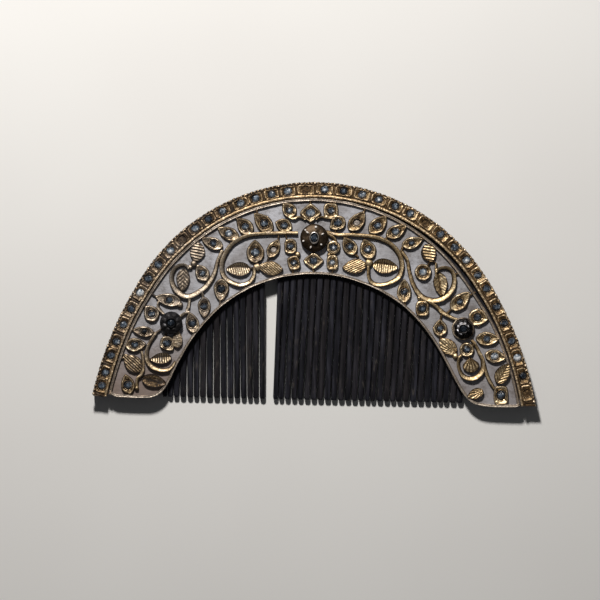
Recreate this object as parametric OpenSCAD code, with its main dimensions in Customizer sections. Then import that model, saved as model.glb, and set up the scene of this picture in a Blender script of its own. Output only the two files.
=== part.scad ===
// Half-moon hair comb: a horn plate sawn into teeth, whose spine carries a silver sheet, a pierced
// foliate panel and a border of square stone settings. Millimetres. The face looks up along +Z,
// the teeth point to -Y, and the flat back lies in z = 0.

/* [Outline] */
// Radius of the crown of the half moon
crown_radius = 55.3; // [40:0.1:70]
// Y of the crown arc's centre
crown_y = -24.7; // [-40:0.1:0]
// Angle at which the crown arc turns into each flank arc
shoulder_angle = 33; // [20:1:60]
// Radius of the left flank arc
left_radius = 100.2; // [60:0.5:200]
// Radius of the right flank arc
right_radius = 92.7; // [60:0.5:200]
// Y of the foot of the left end
left_foot_y = -27.4; // [-32:0.1:-20]
// Y of the foot of the right end
right_foot_y = -30.3; // [-34:0.1:-20]

/* [Comb plate] */
// Thickness of the horn spine
horn_thick = 3; // [2:0.1:5]
// Width of the saw cuts between the teeth
saw_cut = 0.32; // [0.2:0.02:0.8]
// Amount taken off each side of a tooth at its tip
tip_cut = 0.18; // [0.05:0.01:0.4]
// Length of the bevel at the tip
tip_bevel = 0.6; // [0.3:0.1:4]
// Thickness of the teeth at their tips
tip_thick = 1.1; // [0.6:0.1:3]
// Pitch of the sawn teeth
tooth_pitch = 1.772; // [1.4:0.001:2.4]

/* [Metalwork] */
// Thickness of the silver sheet
sheet_thick = 0.35; // [0.2:0.05:1]
// Air left between pieces
air = 0.06; // [0.05:0.01:0.2]
// Width of the wire that frames the panel
frame_width = 0.78; // [0.3:0.02:1]
// Width of the wire along the inner arch
arch_width = 0.76; // [0.3:0.02:1.2]
// Height of the panel's pierced plate, frame wire and stems
low_height = 0.75; // [0.4:0.05:1.5]
// Height of the vines, leaves and setting plates on it
raised_height = 1.0; // [0.6:0.05:2]
// Step from the edge of the plate to what is raised on it
step = 0.13; // [0.05:0.01:0.3]
// Width of the solder that closes the finest gaps
solder = 0.08; // [0.02:0.01:0.2]
// Height of the setting rims
rim_height = 1.2; // [0.6:0.05:2.5]
// Width of the rim around a stone
rim_width = 0.34; // [0.2:0.02:0.8]
// Width of the stems that solder the pieces together
stem_width = 0.56; // [0.3:0.02:1]
// Floor left under each stone
floor_thick = 0.3; // [0.15:0.05:0.8]

/* [Border] */
// Depth of the notches of the milled edge
mill_depth = 0.26; // [0.1:0.02:0.8]
// Pitch of the notches
mill_pitch = 1.32; // [0.8:0.02:3]
// Height of the band's base strip
strip_height = 0.5; // [0.3:0.05:1]
// Height of the divider bars
bar_height = 1.0; // [0.5:0.05:2]
// Width of the divider bars
bar_width = 0.48; // [0.3:0.02:1]
// Room left along the rim between two setting plates
plate_gap = 0.8; // [0.3:0.02:2]
// Width of a setting plate across the rim
plate_width = 2.9; // [2:0.02:3.6]
// Radius of the border stones
border_stone_radius = 1.08; // [0.6:0.02:1.5]

/* [Stones] */
// Number of sides of a cut stone
stone_sides = 8; // [8:1:16]
// Height of a stone from its seat to its table
stone_height = 1.35; // [0.8:0.05:2.5]
// Room left round a stone in its seat
seat_room = 0.09; // [0.05:0.01:0.2]

/* [Rosettes] */
// Radius of the middle dome
dome_radius = 3.8; // [2:0.05:5]
// Height of the middle dome
dome_height = 1.7; // [0.8:0.05:3]
// Radius of the left rosette
left_rosette_radius = 3.1; // [1.5:0.05:4]
// Radius of the right rosette
right_rosette_radius = 2.6; // [1.5:0.05:4]
// Number of lobes of a side rosette
lobe_count = 8; // [5:1:12]
// Radius of the bright dots on the middle dome
dot_radius = 0.36; // [0.2:0.02:0.6]

/* [Hidden] */
$fn = 48;

horn_colour = [0.10, 0.09, 0.10];
silver_colour = [0.60, 0.59, 0.61];
gilt_colour = [0.78, 0.60, 0.36];
dark_colour = [0.25, 0.20, 0.16];
stone_colour = [0.45, 0.52, 0.60];

sheet_z = horn_thick + air;
metal_z = sheet_z + sheet_thick + air;
seat_z = metal_z + floor_thick + air;
seat_height = low_height;
overlap = 0.5; // how far up inside the plate the raised work starts

// Lengths along the rim, measured from where the left flank would stand level with its centre
rad = PI / 180;
crown_s = left_radius * shoulder_angle * rad;
right_s = crown_s + crown_radius * (180 - 2 * shoulder_angle) * rad;
left_centre = [(left_radius - crown_radius) * cos(shoulder_angle),
               crown_y - (left_radius - crown_radius) * sin(shoulder_angle)];
right_centre = [-(right_radius - crown_radius) * cos(shoulder_angle),
                crown_y - (right_radius - crown_radius) * sin(shoulder_angle)];
start_s = left_radius * asin((left_foot_y - left_centre[1]) / left_radius) * rad;
right_turn = shoulder_angle - asin((right_foot_y - right_centre[1]) / right_radius);
end_s = right_s + right_radius * right_turn * rad;

// Direction out of the rim, in degrees, at length s
function rim_angle(s) =
    s < crown_s ? 180 - s / left_radius / rad
    : s < right_s ? 180 - shoulder_angle - (s - crown_s) / crown_radius / rad
    : shoulder_angle - (s - right_s) / right_radius / rad;
function rim_centre(s) = s < crown_s ? left_centre : s < right_s ? [0, crown_y] : right_centre;
function rim_radius(s) = s < crown_s ? left_radius : s < right_s ? crown_radius : right_radius;
// Point at length s along the rim, moved inward by d
function rim(s, d) = rim_centre(s) + (rim_radius(s) - d) * [cos(rim_angle(s)), sin(rim_angle(s))];
function rim_run(s0, s1, d, n) = [for (i = [0:n]) rim(s0 + (s1 - s0) * i / n, d)];

// Smooth curve through the points P, with n steps between each pair
function between(a, b, c, d, t) = 0.5 * (2 * b + (c - a) * t + (2 * a - 5 * b + 4 * c - d) * t * t
    + (3 * b - a - 3 * c + d) * t * t * t);
function curve(P, n) = let (m = len(P)) concat(
    [for (i = [0:m - 2]) for (j = [0:n - 1])
        between(P[max(i - 1, 0)], P[i], P[i + 1], P[min(i + 2, m - 1)], j / n)], [P[m - 1]]);
function left_of(L, i) = let (v = L[min(i + 1, len(L) - 1)] - L[max(i - 1, 0)]) [-v[1], v[0]] / norm(v);
function shifted(L, d) = [for (i = [0:len(L) - 1]) L[i] + d * left_of(L, i)];
function reversed(L) = [for (i = [len(L) - 1:-1:0]) L[i]];
function blend(a, b, t) = a + (b - a) * t * t * (3 - 2 * t);
function width_at(w, t) = t < 0.5 ? blend(w[0], w[1], 2 * t) : blend(w[1], w[2], 2 * t - 1);
// Outline of a ribbon along L whose width goes from w[0] over w[1] to w[2]
function ribbon(L, w) = let (m = len(L) - 1) concat(
    [for (i = [0:m]) L[i] + left_of(L, i) * width_at(w, i / m) / 2],
    [for (i = [m:-1:0]) L[i] - left_of(L, i) * width_at(w, i / m) / 2]);

// Leaf with its tip along +X; the origin is the share "back" of its length from the base.
// Below a lean of 1 the leaf is widest near its base, above it the leaf is a fan.
function leaf_half(u, w, lean) = w / 2 * pow(max(sin(180 * pow(u, lean)), 0), 0.72);
function leaf(l, w, back, lean, n) = concat(
    [for (i = [0:n]) [(i / n - back) * l, leaf_half(i / n, w, lean)]],
    [for (i = [n - 1:-1:1]) [(i / n - back) * l, -leaf_half(i / n, w, lean)]]);
// Rounded shape between a rhombus (p near 1) and a square (p of 4)
function power(v, p) = sign(v) * pow(abs(v), 2 / p);
function rounded(l, w, p, n) = [for (i = [0:n - 1]) let (a = 360 * i / n)
    [l / 2 * power(cos(a), p), w / 2 * power(sin(a), p)]];

// Middle line of the wire along the inner arch, from the left foot to the right foot
arch_points = [[-47.6, -27.55], [-44.3, -27.45], [-42.2, -26.75], [-40.5, -25.15], [-39, -22.65],
    [-37.3, -19.15], [-35.15, -15.2], [-32.55, -11.1], [-29.4, -7.25], [-25.6, -3.4], [-21.1, -0.1],
    [-15.8, 2.7], [-9.9, 4.7], [-4, 5.65], [0, 5.8], [5, 5.5], [9.8, 4.45], [15.8, 2.25], [21.2, -0.65],
    [25.7, -4.1], [29.6, -8.3], [33, -13.05], [35.5, -17.4], [37.7, -21.6], [39.9, -25.5], [41.7, -27.9],
    [44, -29.4], [48, -30.05]];
arch = curve(arch_points, 3);

// Inset of the panel's outer wire and of the band's inner edge along the rim: [length, inset]
frame_inset = [[22, 4.8], [35, 4.75], [44, 4.5], [57, 4.75], [85, 4.9], [112, 5.0], [125, 5.15], [143, 5.3],
    [151, 5.4], [164, 5.65], [172, 5.5], [178, 5.05], [186, 4.75], [206, 4.75]];
band_inset = [[22, 4.2], [35, 4.15], [44, 3.95], [57, 4.2], [85, 4.35], [112, 4.45], [125, 4.5], [143, 4.45],
    [151, 4.35], [164, 4.3], [172, 4.25], [178, 4.15], [186, 4.1], [206, 4.2]];
// Lengths along the rim between which the silver sheet is slit
slit = [25, 203.5];
function frame_run(n) = [for (i = [0:n]) let (s = start_s + 1.6 + (end_s - start_s - 2.2) * i / n)
    rim(s, lookup(s, frame_inset))];

// Teeth: x of the tip of each; the last number of a row is 0 where a tooth has broken out
teeth = [[-40.3, 1], [-38.8, 1], [-37.2, 1], [-35.4, 1], [-33.5, 1], [-31.8, 1], [-30.1, 1],
    [-28.2, 1], [-26.3, 1], [-24.4, 1], [-22.6, 1], [-20.8, 1], [-19, 1], [-17.3, 1], [-15.7, 1],
    [-13.9, 1], [-12.1, 0], [-10.4, 1], [-8.9, 1], [-7.2, 1], [-5.4, 1], [-3.7, 1], [-1.9, 1],
    [-0.1, 1], [1.7, 1], [3.6, 1], [5.4, 1], [7.3, 1], [9.1, 1], [10.9, 1], [12.7, 1], [14.4, 1],
    [15.9, 1], [17.7, 1], [19.6, 1], [21.3, 1], [23, 1], [24.8, 1], [26.8, 1], [28.7, 1], [30.6, 1],
    [32.4, 1], [34, 1], [35.6, 1], [37.5, 1], [39.4, 1]];
function tip_y(x) = -28.45 - 0.021 * x;
// Sideways lean of a tooth, as a share of its length: the right-hand teeth lean to the left
function tooth_lean(i) = i < 16 ? -0.008 : 0.037 + 0.024 * (i - 17) / 28;
function even_x(i) = -40.3 + tooth_pitch * i;
// Distance between the tips on both sides of tooth i, for one tooth
function tip_pitch(i) = let (a = max(i - 1, 0), b = min(i + 1, len(teeth) - 1))
    (teeth[b][0] - teeth[a][0]) / (b - a);

// Panel settings: [x, y, stone radius, angle of the tip, length, width, shape, sway, has a stone]
// Shape 0 is a leaf; otherwise it is the power of a rounded outline. Sway moves the tip sideways.
settings = [
    [-50.2, -24.4, 1.10, 103, 5.6, 3.9, 0, 0, 1], [-48.3, -13.6, 0.95, 5, 5.8, 4.0, 0, 0, 1],
    [-45.8, -10.0, 0.75, 172, 6.0, 3.1, 0, 0, 1], [-43.8, -5.2, 1.00, 125, 5.1, 4.4, 0, 0, 1],
    [-39.0, -1.5, 0.95, 170, 7.4, 3.7, 0, -0.3, 1], [-39.6, -13.2, 1.10, -50, 4.8, 4.1, 0, 0, 1],
    [-32.8, -7.8, 1.10, 105, 6.0, 3.8, 0, 0, 1], [-29.6, -3.2, 1.00, -90, 5.8, 3.6, 0, 0, 1],
    [-30.1, 5.7, 0.95, 120, 5.2, 4.0, 0, 0, 1], [-25.0, 1.5, 1.15, -95, 6.3, 4.3, 0, 0, 1],
    [-27.2, 13.8, 0.95, 160, 6.4, 3.5, 0, -0.2, 1], [-22.9, 16.4, 1.00, 157, 6.6, 3.7, 0, -0.3, 1],
    [-18.5, 18.3, 1.00, 132, 6.0, 4.2, 0, 0.2, 1], [-13.4, 19.2, 1.10, 127, 7.2, 4.4, 0, 0.5, 1],
    [-8.0, 18.6, 1.00, 158, 5.0, 4.1, 0, 0, 1], [-6.6, 22.7, 1.00, 135, 4.8, 4.0, 0, 0, 1],
    [-0.9, 22.0, 1.25, 0, 5.9, 5.4, 1.25, 0, 1], [4.6, 22.6, 1.00, 0, 4.1, 4.3, 3.5, 0, 1],
    [6.5, 19.3, 1.10, -145, 5.0, 4.2, 0, 0, 1], [11.6, 19.5, 1.00, 44, 6.8, 4.2, 0, 0.7, 0],
    [17.2, 18.6, 1.00, 42, 6.6, 4.2, 0, 0.2, 1], [22.1, 16.9, 1.00, 26, 6.4, 3.8, 0, 0.3, 1],
    [26.4, 13.9, 0.85, 16, 6.2, 3.4, 0, 0.2, 1], [-15.8, 11.3, 1.15, 92, 6.6, 5.0, 0, 0, 1],
    [-10.9, 12.2, 0.90, 62, 5.8, 3.6, 0, 0, 0], [-6.3, 13.0, 0.95, -90, 4.2, 3.5, 3, 0, 1],
    [-5.4, 8.5, 0.85, -75, 4.1, 3.5, 3, 0, 1], [-0.1, 9.1, 1.10, 0, 5.7, 4.7, 1.25, 0, 1],
    [5.0, 8.6, 0.80, 90, 4.3, 3.3, 3, 0, 1], [5.3, 12.7, 1.05, 0, 3.9, 3.9, 2, 0, 1],
    [9.7, 12.9, 1.10, 122, 5.7, 4.0, 0, 0, 1], [14.6, 12.1, 1.10, 112, 5.9, 4.5, 0, 0, 1],
    [24.4, 0.7, 1.00, 90, 6.6, 4.0, 0, 0, 1], [29.5, 6.0, 1.05, 45, 4.7, 4.7, 2, 0, 1],
    [29.3, -3.8, 1.10, -90, 4.4, 3.8, 3, 0, 1], [39.4, -2.0, 0.90, 38, 7.0, 4.3, 0, 0.5, 1],
    [34.1, -9.2, 0.95, 90, 4.8, 4.1, 0, 0, 1], [44.2, -6.2, 1.10, -16, 5.6, 5.0, 0, 0.3, 1],
    [46.7, -12.0, 0.95, -2, 6.6, 4.0, 0, 0.2, 1], [41.3, -14.9, 1.00, 0, 4.1, 4.1, 2, 0, 1],
    [48.8, -16.7, 1.05, -12, 6.0, 3.9, 0, 0.2, 1], [50.5, -27.2, 1.25, 90, 5.2, 4.0, 4, 0, 1]];

// Plain engraved leaves: [x, y, length, width, angle of the tip, lean]
leaves = [
    [-49.0, -18.4, 7.0, 4.6, -42, 1.3], [-43.1, -23.3, 6.8, 3.6, -12, 0.82],
    [-41.3, -17.2, 5.8, 3.1, 186, 0.82], [-36.8, -12.1, 4.8, 2.9, 88, 0.82],
    [-35.3, 3.9, 6.2, 3.8, -93, 0.82], [-31.4, 11.5, 5.4, 4.2, 78, 1],
    [-20.4, 6.9, 6.6, 3.9, 180, 0.82], [-11.6, 7.1, 6.8, 4.0, -8, 1], [10.9, 7.6, 6.6, 4.1, 188, 0.82],
    [19.3, 7.7, 6.9, 4.1, -6, 0.82], [31.0, 11.2, 5.2, 4.2, 110, 1.1], [34.2, 2.8, 6.4, 3.9, -82, 0.82],
    [36.1, -13.9, 6.0, 4.1, 140, 0.82], [42.4, -19.1, 4.2, 4.6, -85, 1.2], [51.0, -21.3, 6.2, 4.0, 60, 0.82],
    [43.6, -26.8, 4.6, 3.0, 200, 0.82], [29.2, -1.2, 3.0, 1.7, -25, 0.82]];

// Vines and scrolls: [[width at start, middle, end], [points along the middle line]]
vines = [
    [[1.0, 1.4, 1.0], [[-4.3, 16.6], [-8, 16.6], [-13, 16.5], [-17, 16.1], [-20, 15], [-22.3, 13.3],
        [-24, 10.8], [-24.8, 8.2], [-24.5, 5.6], [-23, 3.8], [-20.3, 2.7], [-17.8, 3.2], [-16.4, 4.8],
        [-16, 7.2]]],
    [[1.0, 1.5, 0.9], [[-24.6, 12], [-25.9, 9.2], [-26.8, 6], [-28.2, 3.4], [-30.3, 1.2], [-33.8, -0.5],
        [-36.6, 0.7], [-38.2, 3.2], [-38.2, 5.8], [-37, 7.5], [-35.2, 8], [-33.7, 7.2]]],
    [[0.8, 0.9, 0.8], [[-33.5, -0.8], [-33.8, -3], [-34.3, -4.5]]],
    [[0.8, 0.9, 0.8], [[-30.9, 1.2], [-30.2, 0.2], [-29.8, -1]]],
    [[0.9, 1.4, 0.8], [[-42.5, -10.3], [-44, -12.5], [-45, -15], [-45, -17.3], [-43.8, -19.3],
        [-41.2, -20.4], [-38.8, -19.9], [-37.3, -18]]],
    [[0.8, 1.1, 0.9], [[-46.5, -15.4], [-46.2, -17], [-46.1, -19.5], [-46.7, -21.5], [-47.6, -22.9],
        [-47.8, -25]]],
    [[1.0, 1.4, 1.0], [[3.3, 17], [6.5, 16.2], [10.5, 16.1], [14.5, 15.8], [17.5, 15.2], [20.3, 13.9],
        [22.3, 12], [23.5, 9.6], [23.7, 7.2], [23, 5], [21.2, 3.5], [18.5, 2.7], [16.2, 3], [14.9, 4.6],
        [14.7, 7.8]]],
    [[1.0, 1.5, 0.9], [[23.8, 11.6], [25.2, 9.2], [25.8, 6.2], [26.6, 3.4], [27.9, 0.9], [29.8, -0.9],
        [32.5, -1.6], [35.2, -0.8], [37.2, 1.2], [37.9, 3.8], [37.4, 6.1], [35.9, 7.2], [34, 7],
        [33, 6.2]]],
    [[0.9, 1.2, 0.9], [[31, -1.9], [33, -3.2], [34.8, -4.8], [36.6, -5.9], [38.6, -6.8]]],
    [[0.9, 1.4, 0.8], [[42.6, -12.3], [43.6, -13.6], [44.6, -15.6], [45.6, -18], [45.4, -20.6],
        [44, -22.2], [42.2, -22.7], [40.4, -22], [39.3, -20.2], [39, -18], [39.7, -16.4]]],
    [[0.9, 1.1, 0.9], [[45.9, -18.3], [46.4, -20.6], [47.3, -23], [48.7, -25.3]]],
    [[0.6, 0.7, 0.6], [[33, 8.6], [32.9, 6.8], [33, 4.6]]],
    [[0.8, 0.9, 0.8], [[3.1, 16.9], [5.4, 15.2], [6.3, 13.6]]],
    [[0.8, 0.9, 0.8], [[-36.4, -6.2], [-35, -5.2], [-33.6, -4.6]]],
    [[0.7, 0.9, 0.7], [[-40.2, -5.5], [-41.4, -4.3], [-42.1, -3], [-41.6, -1.5]]],
    [[0.5, 0.7, 0.5], [[-7.4, 21.3], [-5.6, 20.6], [-3.8, 20.9], [-2.3, 20.3]]],
    [[0.5, 0.7, 0.5], [[0.6, 20.3], [2, 20.9], [3.5, 20.7], [5.6, 20.4]]]];

// Short stems that solder the pieces together: [x, y, x, y]
stems = [
    [-8.1, 24.1, -8.4, 24.8], [-0.9, 24.4, -0.9, 25.4], [4.6, 24.5, 4.7, 25.2], [6.0, 17.8, 5.6, 16.4],
    [13.2, 21.7, 14.0, 23.6], [10.7, 17.7, 10.4, 16.3], [-19.0, 2.8, -18.2, 1.3], [-20.7, 20.3, -21.0, 20.7],
    [-15.1, 21.7, -15.5, 22.9], [17.6, 2.8, 16.9, 1.5], [15.4, 17.1, 15.0, 15.9], [19.9, 15.8, 19.1, 14.5],
    [24.1, 13.3, 23.5, 11.6], [29.0, 14.5, 29.8, 15.2], [-7.2, 14.6, -7.7, 16.4], [-5.5, 11.6, -4.6, 11.0],
    [-5.6, 6.7, -5.7, 5.5], [-9.7, 14.5, -9.4, 16.3], [-12.1, 10.3, -12.7, 8.4], [-31.0, 13.8, -31.3, 14.5],
    [-0.1, 7.1, -0.1, 5.9], [-0.1, 11.1, -0.1, 12.1], [37.5, 5.2, 39.5, 6.0], [30.7, 7.8, 31.8, 9.4],
    [33.0, 8.3, 32.0, 9.4], [-28.6, 4.6, -27.4, 4.9], [-35.4, 1.3, -35.5, -0.1], [24.4, -1.7, 24.7, -3.2],
    [-25.2, -1.4, -25.4, -3.2], [-42.3, -0.7, -44.0, 0.35], [-45.0, -3.6, -45.9, -3.0],
    [42.1, -0.2, 43.6, 0.7], [37.5, -3.6, 35.6, -5.3], [34.1, -7.1, 34.6, -4.7], [34.1, -11.1, 34.5, -12.4],
    [-48.5, -9.6, -49.4, -9.5], [-43.5, -10.2, -42.3, -10.4], [-42.6, -10.3, -40.5, -8.9],
    [42.6, -14.0, 43.5, -13.4], [39.9, -15.9, 39.5, -16.7], [-43.8, -17.4, -45.0, -17.5],
    [42.1, -17.4, 41.6, -16.4], [-17.5, 7.0, -16.0, 7.3], [5.0, 6.8, 5.0, 5.5], [-42.6, -4.2, -41.4, -4.4],
    [-40.2, -11.4, -39.6, -9.8], [-50.8, -16.9, -52.2, -17.3], [8.2, 14.6, 8.2, 16.4], [8.8, 15.0, 8.8, 16.4],
    [11.0, 10.9, 12.0, 10.2]];

// Small beads and knots: [x, y, radius]
beads = [[-4.3, 10.8, 0.75], [-32.4, 8.4, 0.85], [-15.3, 7.4, 1.1], [14.9, 8.5, 1.1], [-47.8, -25.2, 0.62],
    [-36.2, -2.7, 0.9], [38.2, -16.6, 0.8], [4.1, 10.7, 0.6], [-33.4, 7.4, 0.7], [33.1, 6.6, 0.6]];

// Rosettes: [x, y, radius of the seat on the panel, radius kept clear of raised work]
rosettes = [[0.1, 15.3, 3.55, 3.95], [-38.5, -7.6, 2.9, 3.2], [40.3, -9.2, 3.1, 3.2]];
// Bright dots of the middle dome: [angle, distance from its centre]
dots = [[24, 2.5], [81, 2.95], [142, 2.4], [194, 3.1], [250, 2.75], [317, 2.7]];

// Border cells: [shift along the rim, has a stone]
cells = [[0.6, 1], [-0.3, 1], [0, 1], [-0.6, 1], [-0.2, 1], [-0.1, 1], [0.3, 1], [0, 1], [0.1, 1], [0.6, 1],
    [0.3, 0], [0.3, 1], [0, 1], [-0.3, 1], [0.4, 1], [-0.1, 1], [-0.3, 1], [-0.5, 1], [-0.4, 0], [0, 1],
    [0.4, 1], [0.7, 1], [0.6, 1], [0.6, 1], [0.2, 1], [0.3, 0], [0.4, 1], [0.8, 1], [0.5, 1], [0.7, 1],
    [0, 1], [0.6, 1], [0.35, 1], [0.55, 1], [0.3, 1], [0.3, 1], [0, 0]];
// Inset of the line of the border's stones along the rim: [length, inset]
stone_line = [[24, 2.2], [50, 2.2], [60, 2.1], [85, 2.1], [95, 2.3], [112, 2.3], [122, 2.05], [160, 1.95],
    [172, 1.75], [185, 1.95], [206, 1.95]];
function cell_s(i) = 24.8 + 4.633 * i + 0.00817 * i * i + (i >= 0 && i < len(cells) ? cells[i][0] : 0);
// Length of a setting plate along the rim
function plate_length(i) = (cell_s(i + 1) - cell_s(i - 1)) / 2 - plate_gap;

// Outline of the crescent, inset by d from the rim and by e from the arch's outer side
function crescent(d, e) = concat(rim_run(start_s + d, end_s - d, d, 96),
    [[48.5, right_foot_y + e]], reversed(shifted(arch, e - 0.26)), [[-47.6, left_foot_y + e]]);

module at(x, y, a) { translate([x, y, metal_z]) rotate(a) children(); }
module plan(x, y, a) { translate([x, y]) rotate(a) children(); }

// One tooth, seen from above, reaching a little into the spine
module tooth(i) {
    x1 = teeth[i][0];
    y1 = tip_y(x1);
    xr = even_x(i) + tooth_lean(i) * (lookup(even_x(i), arch) - y1);
    x0 = min(max(xr, -40.6), 41.2);
    y0 = lookup(x0, arch) + 1.3;
    u = [x1 - x0, y1 - y0] / norm([x1 - x0, y1 - y0]);
    v = [-u[1], u[0]];
    b = [x1, y1] - u * tip_bevel;
    root = (tooth_pitch - saw_cut) / 2;
    low = (tip_pitch(i) - saw_cut) / 2;
    tip = low - tip_cut;
    polygon([[x0, y0] + v * root, b + v * low, [x1, y1] + v * tip, [x1, y1] - v * tip, b - v * low,
        [x0, y0] - v * root]);
}

module horn_comb() {
    color(horn_colour) union() {
        linear_extrude(horn_thick) polygon(crescent(0.55, 0.5));
        intersection() {
            for (i = [0:len(teeth) - 1]) if (teeth[i][1] == 1) linear_extrude(horn_thick) tooth(i);
            translate([-60, 0, 0]) rotate([90, 0, 90]) linear_extrude(120)
                polygon([[8, 0], [8, horn_thick], [-30, 0.45 + tip_thick], [-30, 0.45]]);
        }
    }
}

// The sheet is slit from foot to foot, between the border and the panel's wire
slit_lap = 0.25; // how far the slit runs on under the border
slit_open = 0.29; // how far short of the wire's middle line it ends
function slit_side(inset, d, n) = [for (i = [0:n]) let (s = slit[0] + (slit[1] - slit[0]) * i / n)
    rim(s, lookup(s, inset) - d)];
module silver_ground() {
    color(silver_colour) translate([0, 0, sheet_z]) linear_extrude(sheet_thick) difference() {
        polygon(crescent(0.95, 0.1));
        polygon(concat(slit_side(band_inset, slit_lap, 72), reversed(slit_side(frame_inset, slit_open, 72))));
    }
}

// A stone: seat ring, girdle, two tiers of facets and a flat table
module stone(r) {
    n = stone_sides;
    h = stone_height;
    rings = [[0.82, 0], [1, 0.28], [0.8, 0.72], [0.42, 1]];
    points = [for (g = rings) for (k = [0:n - 1]) [r * g[0] * cos(360 * (k + 0.5) / n),
        r * g[0] * sin(360 * (k + 0.5) / n), h * g[1]]];
    sides = [for (g = [0:2]) for (k = [0:n - 1])
        let (a = g * n + k, b = g * n + (k + 1) % n) [a, a + n, b + n, b]];
    polyhedron(points, concat([[for (k = [0:n - 1]) k]], sides, [[for (k = [n - 1:-1:0]) 3 * n + k]]));
}

// Outline of a leaf setting round its stone, its tip moved sideways by the setting's sway
setting_back = 0.46;
function swayed(c) = [for (p = leaf(c[4], c[5], setting_back, 0.82, 8))
    [p[0], p[1] + c[7] * pow(max(p[0], 0) / ((1 - setting_back) * c[4]), 2)]];
module setting_shape(c) {
    if (c[6] == 0) polygon(swayed(c));
    else polygon(rounded(c[4], c[5], c[6], 16));
}

// Plan of the wires that frame the panel
module frame_plan() {
    polygon(ribbon(frame_run(60), frame_width * [1, 1, 1]));
    polygon(ribbon(arch, arch_width * [1, 1, 1]));
    polygon(ribbon([[-47.2, -27.55], [-53.4, -27.2], [-54.5, -26.6], frame_run(60)[0], frame_run(60)[1]],
        frame_width * [1, 1, 1]));
    polygon(ribbon([[47.6, -30.05], [52, -30.1], [55.45, -30.1]], frame_width * [1, 1, 1]));
}

module stem_plan(s) {
    run = [s[2] - s[0], s[3] - s[1]];
    plan(s[0], s[1], atan2(run[1], run[0])) translate([0, -stem_width / 2]) square([norm(run), stem_width]);
}

// Plan of the leaves, beads and setting plates
module leaf_plan() {
    for (l = leaves) plan(l[0], l[1], l[4]) polygon(leaf(l[2], l[3], 0.5, l[5], 8));
    for (c = settings) plan(c[0], c[1], c[3]) setting_shape(c);
    for (b = beads) plan(b[0], b[1], 0) circle(r = b[2], $fn = 12);
}

// The whole openwork in plan; the two offsets close gaps that solder would fill
module openwork_plan() {
    offset(delta = -solder) offset(delta = solder) {
        frame_plan();
        leaf_plan();
        for (v = vines) polygon(ribbon(curve(v[1], 2), v[0]));
        for (s = stems) stem_plan(s);
        for (r = rosettes) plan(r[0], r[1], 0) circle(r = r[2], $fn = 36);
    }
}

// What stands higher than the wires: everything but frame, stems and the rosettes' seats
module raised_plan() {
    difference() {
        offset(delta = -step) {
            leaf_plan();
            for (v = vines) polygon(ribbon(curve(v[1], 2), v[0]));
        }
        for (r = rosettes) plan(r[0], r[1], 0) circle(r = r[3], $fn = 36);
    }
}

// A ring or a pocket round each stone of the panel, from height z up by h
module round_stones(extra, z, h) {
    for (c = settings) translate([c[0], c[1], metal_z + z]) cylinder(r = c[2] + extra, h = h);
}

module panel() {
    color(gilt_colour) difference() {
        union() {
            translate([0, 0, metal_z]) linear_extrude(low_height) openwork_plan();
            translate([0, 0, metal_z + overlap]) linear_extrude(raised_height - overlap) raised_plan();
            round_stones(rim_width, overlap, rim_height - overlap);
        }
        round_stones(seat_room, floor_thick, rim_height);
    }
}

// Outline of the band: milled along the rim, smooth inside
function mill_count() = round((end_s - start_s) / mill_pitch);
function mill_line() = [for (i = [0:2 * mill_count()])
    rim(start_s - 1 + (end_s - start_s + 2) * i / (2 * mill_count()), i % 2 == 0 ? mill_depth : 0)];
function band_line(d0, d1, n) = concat(
    [for (i = [0:n]) rim(start_s + (end_s - start_s) * i / n, d0)],
    [for (i = [n:-1:0]) let (s = start_s + (end_s - start_s) * i / n) rim(s, lookup(s, band_inset) - d1)]);
function inner_line(n) = [for (i = [n:-1:0]) let (s = start_s - 1 + (end_s - start_s + 2) * i / n)
    rim(s, lookup(s, band_inset))];
// Ends of the band, cut level with the feet
left_end = [[-66, -26.1], [-61, -26.1], [-60.4, -26.4], [-59.4, -27.35], [-50, -27.55], [-50, -38],
    [-66, -38]];
right_end = [[50, -30.3], [60.4, -30.15], [60.8, -29.6], [66, -29.6], [66, -38], [50, -38]];

module border_band() {
    color(gilt_colour) difference() {
        union() {
            translate([0, 0, metal_z]) {
                linear_extrude(strip_height) polygon(concat(mill_line(), inner_line(96)));
                linear_extrude(strip_height + 0.25) polygon(band_line(0.55, 0.85, 96));
                for (i = [0:len(cells)]) bar((cell_s(i - 1) + cell_s(i)) / 2);
            }
            for (i = [0:len(cells) - 1]) on_rim(cell_s(i)) {
                translate([-plate_length(i) / 2, -plate_width / 2, 0])
                    cube([plate_length(i), plate_width, rim_height - 0.1]);
                cylinder(r = border_stone_radius + rim_width, h = rim_height);
            }
        }
        for (i = [0:len(cells) - 1]) on_rim(cell_s(i)) translate([0, 0, floor_thick])
            cylinder(r = border_stone_radius + seat_room, h = rim_height);
        for (e = [left_end, right_end]) translate([0, 0, -1]) linear_extrude(20) polygon(e);
    }
}

// Puts a piece on the stone line, its X along the rim
module on_rim(s) {
    p = rim(s, lookup(s, stone_line));
    at(p[0], p[1], rim_angle(s) - 90) children();
}

module bar(s) {
    if (s > start_s + 0.6 && s < end_s - 0.6) {
        p = rim(s, 1.95);
        translate([p[0], p[1], 0]) rotate(rim_angle(s) - 90) translate([-bar_width / 2, -1.6, 0])
            cube([bar_width, 3.1, bar_height]);
    }
}

module panel_stones() {
    color(stone_colour) for (c = settings) if (c[8] == 1)
        translate([c[0], c[1], seat_z]) rotate(c[3]) stone(c[2]);
}

module border_stones() {
    color(stone_colour) for (i = [0:len(cells) - 1]) if (cells[i][1] == 1)
        on_rim(cell_s(i)) translate([0, 0, floor_thick + air]) stone(border_stone_radius);
}

// Height of the middle dome at a distance d from its centre, over its straight foot
foot = 0.35;
function dome_z(d) = foot + (dome_height - foot) * sqrt(1 - pow(d / dome_radius, 2));
centre_stone_radius = 1.15;
lobed_stone_radius = 1.05;
lobed_collar_radius = 1.42;

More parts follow.
